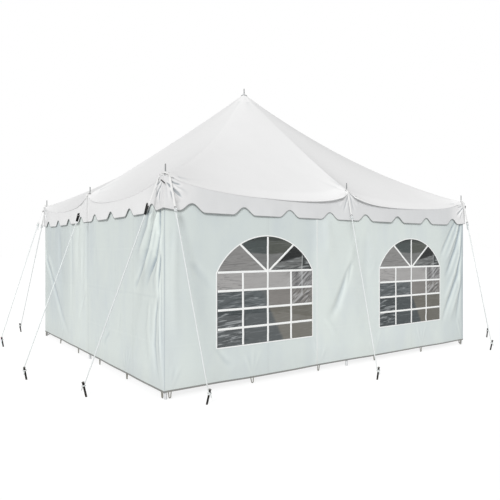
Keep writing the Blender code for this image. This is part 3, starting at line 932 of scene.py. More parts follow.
def new_material(name, roughness, metallic=0.0):
    """A material, its nodes, the inputs of its shader, and the object's coordinates."""
    material = bpy.data.materials.new(name)
    material.use_nodes = True
    nodes = Nodes(material.node_tree)
    shader = material.node_tree.nodes["Principled BSDF"].inputs
    shader["Roughness"].default_value = roughness
    shader["Metallic"].default_value = metallic
    return material, nodes, shader, nodes.add("TexCoord")["Object"]


def set_bump(nodes, shader, height, strength, distance):
    bump = nodes.add("Bump", Strength=strength, Distance=distance, Height=height)["Normal"]
    nodes.feed(shader["Normal"], bump)


@once
def cloth_material(name, light, dark, roughness, seams=(), dust=0.25, depth=0.5):
    """Coated tent cloth: weave, sewn seams, uneven tone, dust near the ground, and painted shade and painted
    light from each vertex's fold shade.
    """
    material, nodes, shader, place = new_material(name, roughness)
    flat = nodes.on_cloth()
    upright = nodes.add("Mapping", Vector=place, Scale=(1.0, 1.0, 0.35))["Vector"]
    weather = nodes.effect("Handling and dust", Vector=upright, Scale=1.7)["Tone"]
    colour = nodes.mix(nodes.between(weather, 0.44, 0.88), light, dark)
    # Painted shade: the fold shade darkens hollows and shaded places toward a bluer grey; below nothing it is
    # painted light that whitens ridges and lit places.
    shade = nodes.add("Attribute", {"attribute_name": "fold_shade"})["Fac"]
    valley = nodes.times(shade, depth, clamp=True)
    ridge = nodes.times(shade, -0.8 * depth, clamp=True)
    colour = nodes.mix(valley, colour, (0.58 * dark[0], 0.62 * dark[1], 0.65 * dark[2]))
    colour = nodes.mix(ridge, colour, tuple(min(0.92, 1.16 * c) for c in light))
    height = nodes.times(nodes.effect("Coated weave", Vector=flat)["Height"], 0.25)
    across, along, _ = nodes.split(flat)
    for seam in seams:
        sewn = nodes.effect("Sewn seam", Across=across, Along=along, Place=float(seam))
        height = nodes.math("ADD", height, sewn["Height"])
        colour = nodes.mix(nodes.times(sewn["Shade"], 0.35), colour, (0.42, 0.44, 0.44))
    if dust:
        dusty = nodes.effect("Handling and dust", Vector=place)["Dust"]
        colour = nodes.mix(nodes.times(dusty, dust), colour, (0.46, 0.45, 0.41))
    nodes.feed(shader["Base Color"], colour)
    height = nodes.line(nodes.noise(place, scale=38.0, detail=3.0), 0.8, height)
    set_bump(nodes, shader, height, strength=0.35, distance=0.0012)
    nodes.feed(shader["Roughness"], nodes.line(weather, 0.16, roughness - 0.08))
    return material


@once
def film_material(name, colour, alpha):
    """Clear flexible film, smoky panes, hazier at the top, with glossy wrinkles: its colour zones are painted
    shade of the dark room behind it and painted light where far windows and the outdoors show through, with
    painted glints and reflections in streaks and a painted highlight along one crease.
    """
    material, nodes, shader, _ = new_material(name, roughness=0.13)
    flat = nodes.on_cloth()
    across, height, _ = nodes.split(flat)

    def mask(*edges, strength=1.0):
        """Area where every value has passed from its low to its high edge."""
        share = nodes.eased(*edges[0])
        for edge in edges[1:]:
            share = nodes.times(share, nodes.eased(*edge))
        return share if strength == 1.0 else nodes.times(share, strength)

    def streaks(tilt, long, short, scale, distortion):
        """Streaks laid at a tilt, from a noise drawn out along it."""
        laid = {"Rotation": (0.0, 0.0, tilt), "Scale": (long, short, 1.0)}
        tilted = nodes.add("Mapping", {"vector_type": "TEXTURE"}, Vector=flat, **laid)["Vector"]
        return nodes.noise(tilted, scale, detail=4.0, Distortion=distortion)

    haze = nodes.noise(flat, scale=2.6, detail=3.0, Distortion=0.6)
    edge = nodes.line(haze, 0.20, -0.10)
    level = nodes.line(edge, 0.4, height)
    aside = nodes.line(edge, 0.5, across)
    leaning = nodes.line(level, 0.5, aside)
    rising = nodes.line(across, -0.20, height)
    above_hub = (height, 1.49, 1.52)
    left_fan = ((nodes.line(across, 0.824, height), 1.515, 1.495), above_hub)
    right_fan = ((nodes.line(across, -0.824, height), 1.515, 1.495), above_hub)
    fan_foot = mask(*right_fan, (rising, 1.600, 1.565))
    second = ((height, 1.00, 1.03), (height, 1.27, 1.24))
    top = ((height, 1.245, 1.275), (height, 1.52, 1.49))
    first_column = (across, -0.385, -0.415)
    last_column = (across, 0.385, 0.425)
    # Zones of painted shade, for the dark room behind the film, and of painted light, where far windows and
    # the outdoors show through; the last one is painted shade under the border at the arch's top.
    areas = (
        (mask((leaning, 0.49, 0.56)), (0.138, 0.131, 0.111)),
        (mask(*second, strength=0.80), (0.112, 0.127, 0.133)),
        (mask(*second, (aside, -0.02, 0.03)), (0.222, 0.210, 0.197)),
        (mask(*top), (0.385, 0.376, 0.370)),
        (mask(*top, last_column, strength=0.8), (0.215, 0.212, 0.214)),
        (mask(above_hub), (0.058, 0.071, 0.070)),
        (mask(above_hub, (across, -0.01, 0.03)), (0.080, 0.086, 0.074)),
        (mask(above_hub, (level, 1.765, 1.735), strength=0.9), (0.185, 0.188, 0.186)),
        (mask(*left_fan), (0.252, 0.248, 0.242)),
        (mask(*right_fan), (0.007, 0.008, 0.008)),
        (fan_foot, (0.155, 0.160, 0.158)),
        (mask(above_hub, (across, 0.605, 0.625)), (0.042, 0.048, 0.048)),
        (mask((level, 1.900, 1.960), strength=0.7), (0.020, 0.024, 0.023)),
    )
    mixed = nodes.mix(0.0, colour, colour)
    for area, tone in areas:
        mixed = nodes.mix(area, mixed, tone)

    # Painted glints and painted reflections: dark and bright level streaks, fine dark lines in the first
    # column, and dark and bright diagonal streaks.
    level_streak = streaks(tilt=0.06, long=0.46, short=0.046, scale=1.4, distortion=1.4)
    fine_streak = streaks(tilt=-0.10, long=0.30, short=0.030, scale=1.6, distortion=1.0)
    diagonal = streaks(tilt=0.66, long=0.30, short=0.048, scale=1.3, distortion=0.8)
    painted_reflection_area = nodes.line(haze, 0.20, 0.05)
    for area in (
        mask(first_column, (height, 1.02, 1.00)),
        mask(first_column, *second, strength=0.6),
        mask(*second, (across, -0.02, -0.10), strength=0.7),
        mask(*left_fan, (height, 1.72, 1.60), strength=0.45),
        nodes.times(fan_foot, 0.95),
    ):
        painted_reflection_area = nodes.math("MAXIMUM", painted_reflection_area, area)
    hooked = mask(last_column, (height, 1.00, 1.03), (height, 1.52, 1.49))
    hooked = nodes.math("MAXIMUM", hooked, mask((aside, 0.27, 0.40), *top, strength=0.55))
    fine = mask((fine_streak, 0.45, 0.38), (height, 1.245, 1.275))
    strokes = (
        (mask((level_streak, 0.49, 0.40)), painted_reflection_area, 0.62, (0.016, 0.020, 0.022)),
        (mask((level_streak, 0.54, 0.66)), painted_reflection_area, 0.62, (0.42, 0.44, 0.45)),
        (fine, mask(first_column), 0.60, (0.16, 0.16, 0.16)),
        (mask((diagonal, 0.50, 0.40)), hooked, 0.70, (0.060, 0.062, 0.066)),
        (mask((diagonal, 0.53, 0.63)), hooked, 0.55, (0.52, 0.53, 0.54)),
    )
    for stroke, where, strength, tone in strokes:
        mixed = nodes.mix(nodes.times(nodes.times(stroke, where), strength), mixed, tone)
    # Painted highlight along one upright crease of the film.
    crease = nodes.math("ABSOLUTE", nodes.minus(nodes.line(edge, 0.10, across), 0.61))
    crease = mask((crease, 0.009, 0.004), (height, 1.14, 1.16), (height, 1.76, 1.70), strength=0.6)
    nodes.feed(shader["Base Color"], nodes.mix(crease, mixed, (0.62, 0.64, 0.64)))
    shader["Alpha"].default_value = alpha
    set_bump(nodes, shader, level_streak, strength=0.45, distance=0.005)
    return material


@once
def plain_fabric(name, colour, roughness, bump=0.3, ribs=520.0):
    """Webbing or tape: a ribbed weave on its own length and width."""
    material, nodes, shader, place = new_material(name, roughness)
    weave = nodes.effect("Coated weave", Vector=nodes.on_cloth(), Threads=ribs)["Height"]
    weather = nodes.effect("Handling and dust", Vector=place, Scale=9.0)
    worn = nodes.mix(nodes.times(weather["Tone"], 0.7), colour, scaled(colour, 0.82))
    worn = nodes.mix(nodes.times(weather["Dust"], 0.5), worn, (0.34, 0.31, 0.26))
    nodes.feed(shader["Base Color"], worn)
    set_bump(nodes, shader, weave, bump, distance=0.0010)
    return material


@once
def rope_material(name, colour):
    """Laid rope: fine fibres, uneven tone, and a little dust near the ground."""
    material, nodes, shader, place = new_material(name, roughness=0.72)
    fibres = nodes.noise(place, scale=420.0, detail=4.0)
    weather = nodes.effect("Handling and dust", Vector=place, Scale=6.0, Dust_height=0.5)
    tone = nodes.line(fibres, 0.5, nodes.times(weather["Tone"], 0.3))
    worn = nodes.mix(tone, colour, scaled(colour, 0.86))
    worn = nodes.mix(nodes.times(weather["Dust"], 0.30), worn, (0.42, 0.39, 0.33))
    nodes.feed(shader["Base Color"], worn)
    set_bump(nodes, shader, fibres, strength=0.4, distance=0.0012)
    return material


@once
def steel_material(name, colour, roughness, spangle, metallic=1.0, pin_colour=None):
    """Galvanised or zinc-plated steel: crystal spangle, dull patches, and darker pins on the poles."""
    material, nodes, shader, place = new_material(name, roughness, metallic)
    crystals = nodes.add("TexVoronoi", Vector=place, Scale=spangle)["Color"]
    patches = nodes.effect("Handling and dust", Vector=place, Scale=7.0)
    tone = nodes.add("SeparateColor", Color=crystals)[0]
    metal = nodes.mix(nodes.times(tone, 0.5), colour, scaled(colour, 0.68))
    if pin_colour:
        metal = nodes.mix(nodes.eased(nodes.split(place)[2], 2.70, 2.74), metal, pin_colour)
    else:
        metal = nodes.mix(nodes.times(patches["Dust"], 0.5), metal, (0.16, 0.13, 0.10))
    nodes.feed(shader["Base Color"], metal)
    nodes.feed(shader["Roughness"], nodes.line(patches["Tone"], 0.35, roughness - 0.15))
    set_bump(nodes, shader, patches["Tone"], strength=0.2, distance=0.0008)
    return material


@once
def stake_material(name, colour):
    """Dark forged stake: mill scale and rust freckles, beaten bright at the head."""
    material, nodes, shader, place = new_material(name, roughness=0.5, metallic=0.85)
    height = nodes.split(nodes.on_cloth())[1]
    freckles = nodes.noise(place, scale=85.0, detail=6.0, Roughness=0.7)
    rust = nodes.between(freckles, 0.52, 0.68)
    metal = nodes.mix(nodes.times(rust, 0.6), colour, (0.10, 0.055, 0.03))
    beaten = nodes.between(height, 0.178, 0.192)
    patchy = nodes.times(beaten, nodes.math("ADD", freckles, 0.25), clamp=True)
    metal = nodes.mix(patchy, metal, (0.36, 0.35, 0.33))
    earthy = nodes.between(height, 0.035, 0.0)
    nodes.feed(shader["Base Color"], nodes.mix(nodes.times(earthy, 0.5), metal, (0.12, 0.09, 0.06)))
    nodes.feed(shader["Roughness"], nodes.line(rust, 0.3, 0.42))
    set_bump(nodes, shader, freckles, strength=0.5, distance=0.0012)
    return material


# Ropes


def smoothed(points, step):
    """Points at even steps along a path."""
    points = np.asarray(points, float)
    keep = np.concatenate([[True], np.linalg.norm(np.diff(points, axis=0), axis=1) > 1e-6])
    points = points[keep]
    length = lengths(points)
    count = max(2, int(round(length[-1] / step)))
    places = np.linspace(0.0, length[-1], count + 1)
    return np.stack([np.interp(places, length, points[:, k]) for k in range(3)], axis=1)


def strand_section(radius, strands=3):
    """Closed curve of three round strands, as a rope's section."""
    curve = bpy.data.curves.new("rope_section", "CURVE")
    curve.dimensions = "2D"
    spline = curve.splines.new("POLY")
    count = strands * 4
    spline.points.add(count - 1)
    for i, point in enumerate(spline.points):
        angle = 2.0 * math.pi * i / count
        lobe = radius * (0.90 + 0.10 * abs(math.cos(strands * angle / 2.0)) ** 0.7)
        point.co = (lobe * math.cos(angle), lobe * math.sin(angle), 0.0, 1.0)
    spline.use_cyclic_u = True
    return linked("rope_section", curve)


def laid_rope(name, paths, radius, lay, step=0.0075):
    """Twisted rope along one or more paths: a curve with a stranded section that turns as it goes."""
    curve = bpy.data.curves.new(name, "CURVE")
    curve.dimensions = "3D"
    curve.twist_mode = "MINIMUM"
    curve.use_fill_caps = True
    section = strand_section(radius)
    curve.bevel_mode = "OBJECT"
    curve.bevel_object = section
    for path in paths:
        points = smoothed(path, step)
        spline = curve.splines.new("POLY")
        spline.points.add(len(points) - 1)
        for number, (point, place) in enumerate(zip(spline.points, points)):
            point.co = (*place, 1.0)
            point.tilt = 2.0 * math.pi * number * step / lay
    pick(linked(name, curve))
    bpy.ops.object.convert(target="MESH")
    rope = bpy.context.object
    bpy.data.objects.remove(section, do_unlink=True)
    bpy.ops.object.shade_smooth_by_angle(angle=math.radians(60))
    return rope


def guy_lines(pole, stake):
    """Lines of a guy rope: its pin, its level heading, what lies beside it, and its stake's axis."""
    pin = Vector((pole[0] * PIN_LINE, pole[1] * PIN_LINE, 0.0))
    heading = (Vector((*stake, 0.0)) - pin).normalized()
    beside = Vector((-heading.y, heading.x, 0.0))
    return pin, heading, beside, heading * math.sin(STAKE_LEAN) + UP * math.cos(STAKE_LEAN)


def lying_along(line, normal):
    """Turn that lays a piece's X axis along a line and its Z axis along the line's normal."""
    return Matrix((line, normal.cross(line), normal)).transposed().to_4x4()


def standing_along(line):
    """Turn that lays a piece's Z axis along a line."""
    return line.to_track_quat("Z", "Y").to_matrix().to_4x4()


def helix(centre, first, second, axis, radius, start, turns, rise, steps=14):
    """Points of a coil round an axis."""
    points = []
    count = max(2, int(steps * turns))
    for i in range(count + 1):
        angle = start + 2.0 * math.pi * turns * i / count
        spot = centre + first * (radius * math.cos(angle)) + second * (radius * math.sin(angle))
        points.append(spot + axis * (rise * i / count))
    return points


def path_facing(points, wanted):
    """Facing directions square to a path, as near as can be to the wanted ones."""
    wanted = np.asarray(wanted, float)
    ahead = unit(np.gradient(np.asarray(points, float), axis=0))
    return unit(wanted - ahead * np.sum(wanted * ahead, axis=1)[:, None])


# Settings


def colour_setting(name, description, default):
    return FloatVectorProperty(
        name=name, description=description, subtype="COLOR", size=3, min=0.0, max=1.0, default=default
    )


def size_setting(name, description, default, low, high):
    return FloatProperty(
        name=name, description=description, default=default, min=low, max=high, unit="LENGTH"
    )


def share_setting(name, description, default, high):
    return FloatProperty(
        name=name, description=description, default=default, min=0.0, max=high, subtype="FACTOR"
    )


class TentRoofSettings(bpy.types.PropertyGroup):
    cloth_colour: colour_setting("Cloth colour", "Colour of the roof and valance cloth", (0.83, 0.83, 0.83))
    fold_depth: size_setting("Fold depth", "Depth of the folds that run out from the pins", 0.011, 0.0, 0.03)
    binding_colour: colour_setting(
        "Binding colour", "Colour of the tape round the scallops", (0.33, 0.34, 0.34)
    )


class TentWallSettings(bpy.types.PropertyGroup):
    light_colour: colour_setting("Light cloth", "Lighter tone of the wall cloth", (0.695, 0.75, 0.725))
    dark_colour: colour_setting("Shaded cloth", "Bluer, darker tone of the wall cloth", (0.60, 0.655, 0.68))
    fold_depth: share_setting("Fold depth", "Share of the folds' full depth", 1.0, 1.5)
    loop_colour: colour_setting("Loop colour", "Colour of the ground loops", (0.24, 0.235, 0.21))


class TentWindowSettings(bpy.types.PropertyGroup):
    # The film colour is painted shade: the dark of the shaded room seen through the film.
    film_colour: colour_setting(
        "Film colour", "Darkest tone of the clear film against the room", (0.052, 0.063, 0.067)
    )
    film_alpha: share_setting("Film haze", "How much of the light the film stops", 0.95, 1.0)
    bar_width: size_setting("Bar width", "Width of the window bars", 0.030, 0.01, 0.08)


class TentRopeSettings(bpy.types.PropertyGroup):
    rope_colour: colour_setting("Rope colour", "Colour of the guy ropes", (0.81, 0.84, 0.84))
    strap_length: size_setting(
        "Strap length", "Length of the webbing strap from the eave to its buckle", 0.40, 0.1, 1.0
    )
    stake_colour: colour_setting("Stake colour", "Colour of the forged stakes", (0.022, 0.022, 0.020))
    stake_sides: IntProperty(name="Stake sides", description="Faces round a stake", default=24, min=8, max=48)


class TentStageSettings(bpy.types.PropertyGroup):
    floor_colour: colour_setting("Floor colour", "Colour of the plain floor", (0.25, 0.25, 0.25))
    sun_strength: FloatProperty(
        name="Key light", description="Strength of the soft key light", default=2.18, min=0.0, max=10.0
    )
    sky_strength: FloatProperty(
        name="Fill light", description="Strength of the light from all round", default=0.50, min=0.0, max=3.0
    )


# Pieces


class TENT_OT_stage(bpy.types.Operator):
    """Make the camera, the soft light and the plain floor"""

    bl_idname = "tent.stage"
    bl_label = "Stage"

    def execute(self, context):
        scene, settings = context.scene, context.scene.tent_stage
        camera = linked("camera", bpy.data.cameras.new("camera"))
        camera.location = CAMERA_PLACE
        camera.rotation_euler = (math.radians(90.0), 0.0, CAMERA_YAW)
        camera.data.sensor_width = SENSOR_WIDTH
        camera.data.lens = SENSOR_WIDTH * FOCAL_SHARE
        camera.data.shift_x = CAMERA_SHIFT
        scene.camera = camera
        scene.view_settings.view_transform = "Standard"
        sun = linked("key_light", bpy.data.lights.new("key_light", "SUN"))
        sun.data.energy = settings.sun_strength
        sun.data.angle = math.radians(20.0)
        sun.rotation_euler = Vector(SUN_DIRECTION).to_track_quat("-Z", "Y").to_euler()
        scene.world = bpy.data.worlds.new("plain_white")
        scene.world.use_nodes = True
        nodes = Nodes(scene.world.node_tree)
        seen = nodes.add("LightPath")["Is Camera Ray"]
        background = nodes.tree.nodes["Background"].inputs
        background["Color"].default_value = (1.0, 1.0, 1.0, 1.0)
        sky = settings.sky_strength
        nodes.feed(background["Strength"], nodes.line(seen, 1.0 - sky, sky))
        deselect()
        bpy.ops.mesh.primitive_grid_add(x_subdivisions=4, y_subdivisions=4, size=240.0)
        floor = context.object
        floor.name = "floor"
        material, nodes, shader, _ = new_material("plain floor", roughness=0.9)
        shader["Base Color"].default_value = (*settings.floor_colour, 1.0)
        shader["Emission Color"].default_value = (1.0, 1.0, 1.0, 1.0)
        direct = nodes.add("LightPath")["Is Camera Ray"]
        nodes.feed(shader["Emission Strength"], nodes.line(direct, slope=0.38, start=0.42))
        floor.data.materials.append(material)
        return {"FINISHED"}


class TENT_OT_roof(bpy.types.Operator):
    """Make the roof cloth, its reinforcing patches and the collar at the peak"""

    bl_idname = "tent.roof"
    bl_label = "Roof"

    def execute(self, context):
        light = tuple(context.scene.tent_roof.cloth_colour)
        cloth = cloth_material("roof cloth", light, scaled(light, 0.965), roughness=0.46, dust=0.0)
        columns = roof_columns(count=208)
        roof, x, y = cloth_grid("roof_cloth", columns, columns, roof_place, lambda x, y: (x, y))
        # Painted shade in the folds' hollows and painted light on their ridges; on the front and back, a band
        # of painted highlight on the eave's rolled edge beside the middle pole.
        shade = hollow_share(roof_folds, x, y, reach=0.032, depth=0.0034)
        rim, near = far_and_near(x, y)
        lip = smooth((rim - EAVE_HALF + 0.20) / 0.08) * bell(near / PIN_LINE, 0.5)
        set_shade(roof, shade - np.where(np.abs(y) > np.abs(x), 1.2 * lip, 0.0))
        finish_piece(roof, cloth, "roof_cloth", "canopy")
        patches = self.patches()
        patch_cloth = cloth_material("roof patch cloth", (0.85, 0.85, 0.85), light, roughness=0.46, dust=0.0)
        finish_piece(patches, patch_cloth, "roof_cloth")
        shine = {"roughness": 0.40, "spangle": 160.0, "metallic": 0.6}
        bright = steel_material("collar steel", (0.78, 0.79, 0.80), **shine)
        finish_piece(self.collar(), bright, "pole_steel", "peak_ring")
        return {"FINISHED"}

    def patches(self):
        """Patches at the pins, half or a quarter round, and a round one at the peak."""
        parts = []
        for px, py in POLES.values():
            middle = 0 in (px, py)
            sweep = math.pi if middle else math.pi / 2
            first = math.atan2(-py, -px) - sweep / 2
            reach = MIDDLE_PATCH if middle else CORNER_PATCH
            parts.append(patch_parts((px * EAVE_HALF, py * EAVE_HALF), first, sweep, reach))
        parts.append(patch_parts((0.0, 0.0), 0.0, 2.0 * math.pi, PEAK_PATCH))
        return mesh_from_parts("roof_patches", parts)

    def collar(self):
        profile = [(0.0104, 4.974), (0.0600, 4.9445), (0.0625, 4.9425), (0.0630, 4.9465), (0.0600, 4.9505)]
        profile += [(0.0240, 4.9715), (0.0200, 4.9790), (0.0185, 4.9960), (0.0160, 4.9990), (0.0122, 4.9990)]
        profile += [(0.0112, 4.9960), (0.0104, 4.974)]
        return turned("peak_collar", profile, steps=48, ring=True)


class TENT_OT_valances(bpy.types.Operator):
    """Make the four scalloped valances and the tape round their scallops"""

    bl_idname = "tent.valances"
    bl_label = "Valances"

    def execute(self, context):
        settings = context.scene.tent_roof
        light = tuple(settings.cloth_colour)
        # The valance cloth is the roof's cloth made darker: painted shade under the roof's edge.
        cloth = cloth_material(
            "valance cloth", scaled(light, 0.95), scaled(light, 0.87), roughness=0.50, dust=0.0, depth=0.7
        )
        tape = plain_fabric("valance binding", tuple(settings.binding_colour), roughness=0.6)
        columns = stations((-EAVE_HALF, -2.5, -0.5, 0.5, 2.5, EAVE_HALF), counts=(80, 90, 80, 90, 80))
        rows = np.linspace(0.0, 1.0, 31)
        for index, side in enumerate(SIDES):
            valance, along, up = cloth_grid(
                f"valance_cloth_{side}",
                columns,
                rows,
                lambda along, up: valance_place(index, along, 1.0 - up),
                lambda along, up: (along, up * VALANCE_DROP),
            )

            def folds(along, level):
                return valance_bulge(index, along, np.clip(1.0 - level / FOLD_DROP, 0.0, 1.0))

            shade = hollow_share(folds, along, up * FOLD_DROP, reach=0.020, depth=0.0035, deepest=1.5)
            # Painted shade in the pleats' hollows and painted light on their ridges; away from the corners,
            # painted shade on the front and back valances, growing towards their ends at positive along, and
            # painted light on the side ones.
            away = smooth((EAVE_HALF - np.abs(along) - 0.22) / 0.35)
            darker = 0.32 + 0.16 * smooth(along / 2.0) if index % 2 == 0 else -0.82
            set_shade(valance, 1.4 * shade + away * darker)
            finish_piece(valance, cloth, "roof_cloth", f"valance_{side}")
            hem = valance_place(index, np.linspace(-EAVE_HALF, EAVE_HALF, 480), np.ones(480))
            tape_parts = ribbon_parts(hem, side_facing(index), half_width=0.0048, thick=0.0040)
            binding = mesh_from_parts(f"valance_binding_{side}", [tape_parts])
            finish_piece(binding, tape, "roof_cloth")
        return {"FINISHED"}


class TENT_OT_walls(bpy.types.Operator):
    """Make the four hanging walls with their hems, seam tapes and ground loops"""

    bl_idname = "tent.walls"
    bl_label = "Walls"

    def execute(self, context):
        settings = context.scene.tent_walls
        light, dark = tuple(settings.light_colour), tuple(settings.dark_colour)
        seamed = cloth_material("windowed wall cloth", light, dark, roughness=0.50, seams=WINDOWED_WALL_SEAMS)
        plain = cloth_material("wall cloth", light, dark, roughness=0.50, seams=PLAIN_WALL_SEAMS)
        tape_cloth = plain_fabric("wall tape", (0.76, 0.80, 0.79), roughness=0.5)
        # The hem tape's dark grey is painted shadow along the wall's bottom edge.
        hem_shadow_cloth = plain_fabric("hem tape", (0.24, 0.25, 0.25), roughness=0.6)
        cord = rope_material("loop cord", tuple(settings.loop_colour))
        inner, outer = WINDOW_OFFSET - WINDOW_HALF, WINDOW_OFFSET + WINDOW_HALF
        near_corner = WALL_LINE - 0.03
        stops = (-WALL_LINE, -near_corner, -outer, -inner, inner, outer, near_corner, WALL_LINE)
        columns = stations(stops, counts=(8, 44, 80, 78, 80, 44, 8))
        rows = stations((WALL_HEM - 0.008, WINDOW_SILL, WINDOW_SPRINGING, WALL_TOP), counts=(22, 44, 44))
        for index, side in enumerate(SIDES):
            windowed = index % 2 == 0
            wall, along, level = cloth_grid(
                f"wall_cloth_{side}",
                columns,
                rows,
                lambda a, h: self.place(index, a, h, windowed),
                lambda a, h: (a, self.height(a, h, windowed)),
            )
            real = self.height(along, level, windowed)
            reach = 0.030 if windowed else 0.042

            def folds(along, height):
                return wall_bulge(index, along, height)

            # Painted shade in the folds' hollows and painted light on their ridges, painted shade and light
            # by place from the walls' tone table, and a thin line of painted shade at each upright edge where
            # two walls meet.
            shade = hollow_share(folds, along, real, reach, depth=0.0060, deepest=1.8)
            shade += painted_wall_shading(index, along, real) + 0.9 * bell(WALL_LINE - np.abs(along), 0.009)
            set_shade(wall, shade)
            if windowed:
                across = np.abs(np.abs(along) - WINDOW_OFFSET)
                hole = (across <= WINDOW_HALF + 1e-6) & (level >= WINDOW_SILL - 1e-6)
                delete_faces(wall, hole & (level <= WINDOW_SPRINGING + 1e-6))
            finish_piece(wall, seamed if windowed else plain, "wall_cloth", f"wall_{side}")
            pieces = [self.hem(index, side)]
            finish_piece(pieces[-1], hem_shadow_cloth, "wall_cloth")
            if windowed:
                pieces.append(self.tape(index, side))
                finish_piece(pieces[-1], tape_cloth, "wall_cloth")
            pieces.append(self.loops(index, side))
            finish_piece(pieces[-1], cord, "wall_cloth")
        return {"FINISHED"}

    def height(self, along, level, windowed):
        """Height of a row; over a window the rows above its arch close up to clear it."""
        if not windowed:
            return level
        arch = arch_height(np.minimum(np.abs(np.abs(along) - WINDOW_OFFSET), WINDOW_HALF))
        share = np.clip((level - WINDOW_SPRINGING) / (WALL_TOP - WINDOW_SPRINGING), 0.0, 1.0)
        return np.where(level >= WINDOW_SPRINGING - 1e-6, arch + share * (WALL_TOP - arch), level)

    def place(self, index, along, level, windowed):
        height = self.height(along, level, windowed)
        wavy = 0.006 * hills(along * 1.7, along * 0.0, 91 + index) * (1.0 - smooth((level - WALL_HEM) / 0.3))
        return on_side(index, along, wall_bulge(index, along, height), height + wavy)

    def hem(self, index, side):
        # A hem band whose dark colour is painted shadow of the wall's bottom edge.
        along = np.linspace(-WALL_LINE, WALL_LINE, 300)
        low = self.place(index, along, np.full(len(along), WALL_HEM - 0.006), False)
        band = ribbon_parts(low, side_facing(index), half_width=0.0115, thick=0.006)
        return mesh_from_parts(f"wall_hem_{side}", [band])

    def tape(self, index, side):
        height = np.linspace(WALL_HEM + 0.01, WALL_TOP - 0.01, 150)
        along = np.full(len(height), WALL_TAPE if index == 0 else -WALL_TAPE)
        points = on_side(index, along, wall_bulge(index, along, height) + 0.0022, height)
        band = ribbon_parts(points, side_facing(index), half_width=0.016, thick=0.003)
        return mesh_from_parts(f"wall_tape_{side}", [band])

    def loops(self, index, side):
        """Cord loops that hang from the hem to the ground, each a narrow U with its ends sewn in."""
        paths = []
        for i in range(LOOPS):
            middle = (i - (LOOPS - 1) / 2) * LOOP_PITCH
            lean = 0.010 * math.sin(2.3 * i + index)
            half = 0.019 + 0.004 * math.sin(1.7 * i)
            bend = 0.6 * half
            turn = [
                (middle + lean + bend * math.cos(a), LOOP_LOW + bend * (1.0 + math.sin(a)))
                for a in np.linspace(math.pi, 2.0 * math.pi, 9)
            ]
            ends = (middle - half, LOOP_TOP), (middle + half, LOOP_TOP)
            along, height = np.array([ends[0], *turn, ends[1]]).T
            out = wall_bulge(index, along, np.maximum(height, WALL_HEM)) - 0.002
            paths.append(on_side(index, along, out * smooth((height - 0.02) / 0.08), height))
        return laid_rope(f"ground_loops_{side}", paths, LOOP_CORD, lay=0.036, step=0.006)


class TENT_OT_windows(bpy.types.Operator):
    """Make the four arched clear windows with their borders and bars"""

    bl_idname = "tent.windows"
    bl_label = "Windows"

    def execute(self, context):
        settings = context.scene.tent_windows
        film = film_material("clear window film", tuple(settings.film_colour), settings.film_alpha)
        bar = plain_fabric("window bar", (0.95, 0.96, 0.95), roughness=0.38, bump=0.1)
        columns = np.linspace(-WINDOW_HALF, WINDOW_HALF, 105)
        rows = np.linspace(0.0, 1.0, 111)
        for index in (0, 2):
            for name, middle in (("left", -WINDOW_OFFSET), ("right", WINDOW_OFFSET)):
                title = f"{SIDES[index]}_{name}"
                pane, _, _ = cloth_grid(
                    f"window_film_{title}",
                    columns,
                    rows,
                    lambda across, share: self.place(index, middle, across, self.height(across, share)),
                    lambda across, share: (across, self.height(across, share) - FILM_LIFT),
                )
                finish_piece(pane, film, "clear_film", f"window_{title}")
                bars = self.bars(index, middle, title, settings.bar_width / 2)
                finish_piece(bars, bar, "wall_cloth")
        return {"FINISHED"}

    def height(self, across, share):
        return WINDOW_SILL + share * (arch_height(across) - WINDOW_SILL)

    def place(self, index, middle, across, height, lift=0.0):
        along = middle + across
        out = wall_bulge(index, along, height) + film_wrinkles(index, along, height) + lift
        return on_side(index, along, out, height)

    def bars(self, index, middle, title, half_bar):
        """White border round the opening, level and upright bars, and the fan in the arch."""
        facing = side_facing(index)
        outline = window_outline()
        ahead = unit(np.roll(outline, -1, 0) - np.roll(outline, 1, 0))
        outline = outline + 0.0065 * np.stack([ahead[:, 1], -ahead[:, 0]], axis=1)
        rim = self.place(index, middle, outline[:, 0], outline[:, 1], lift=0.0022)
        parts = [ribbon_parts(rim, facing, half_width=0.0078, thick=0.0036, closed=True)]

        def band(first, last, steps):
            share = np.linspace(0.0, 1.0, steps)
            across, height = (a + (b - a) * share for a, b in zip(first, last))
            spots = self.place(index, middle, across, height, lift=0.0040)
            parts.append(ribbon_parts(spots, facing, half_bar, thick=0.0024))

        reach, low = WINDOW_HALF - 0.01, WINDOW_SILL + 0.005
        for level in BAR_LEVELS:
            band((-reach, level), (reach, level), 90)
        for across in BAR_PLACES:
            band((across, low), (across, WINDOW_HUB), 70)
        band((0.0, low), (0.0, WINDOW_SPRINGING + WINDOW_RISE - 0.008), 90)
        out, up = SPOKE_LENGTH * math.cos(SPOKE_ANGLE), SPOKE_LENGTH * math.sin(SPOKE_ANGLE)
        for hand in (-1.0, 1.0):
            band((hand * 0.012, WINDOW_HUB), (hand * out, WINDOW_HUB + up), 50)
        return mesh_from_parts(f"window_bars_{title}", parts)


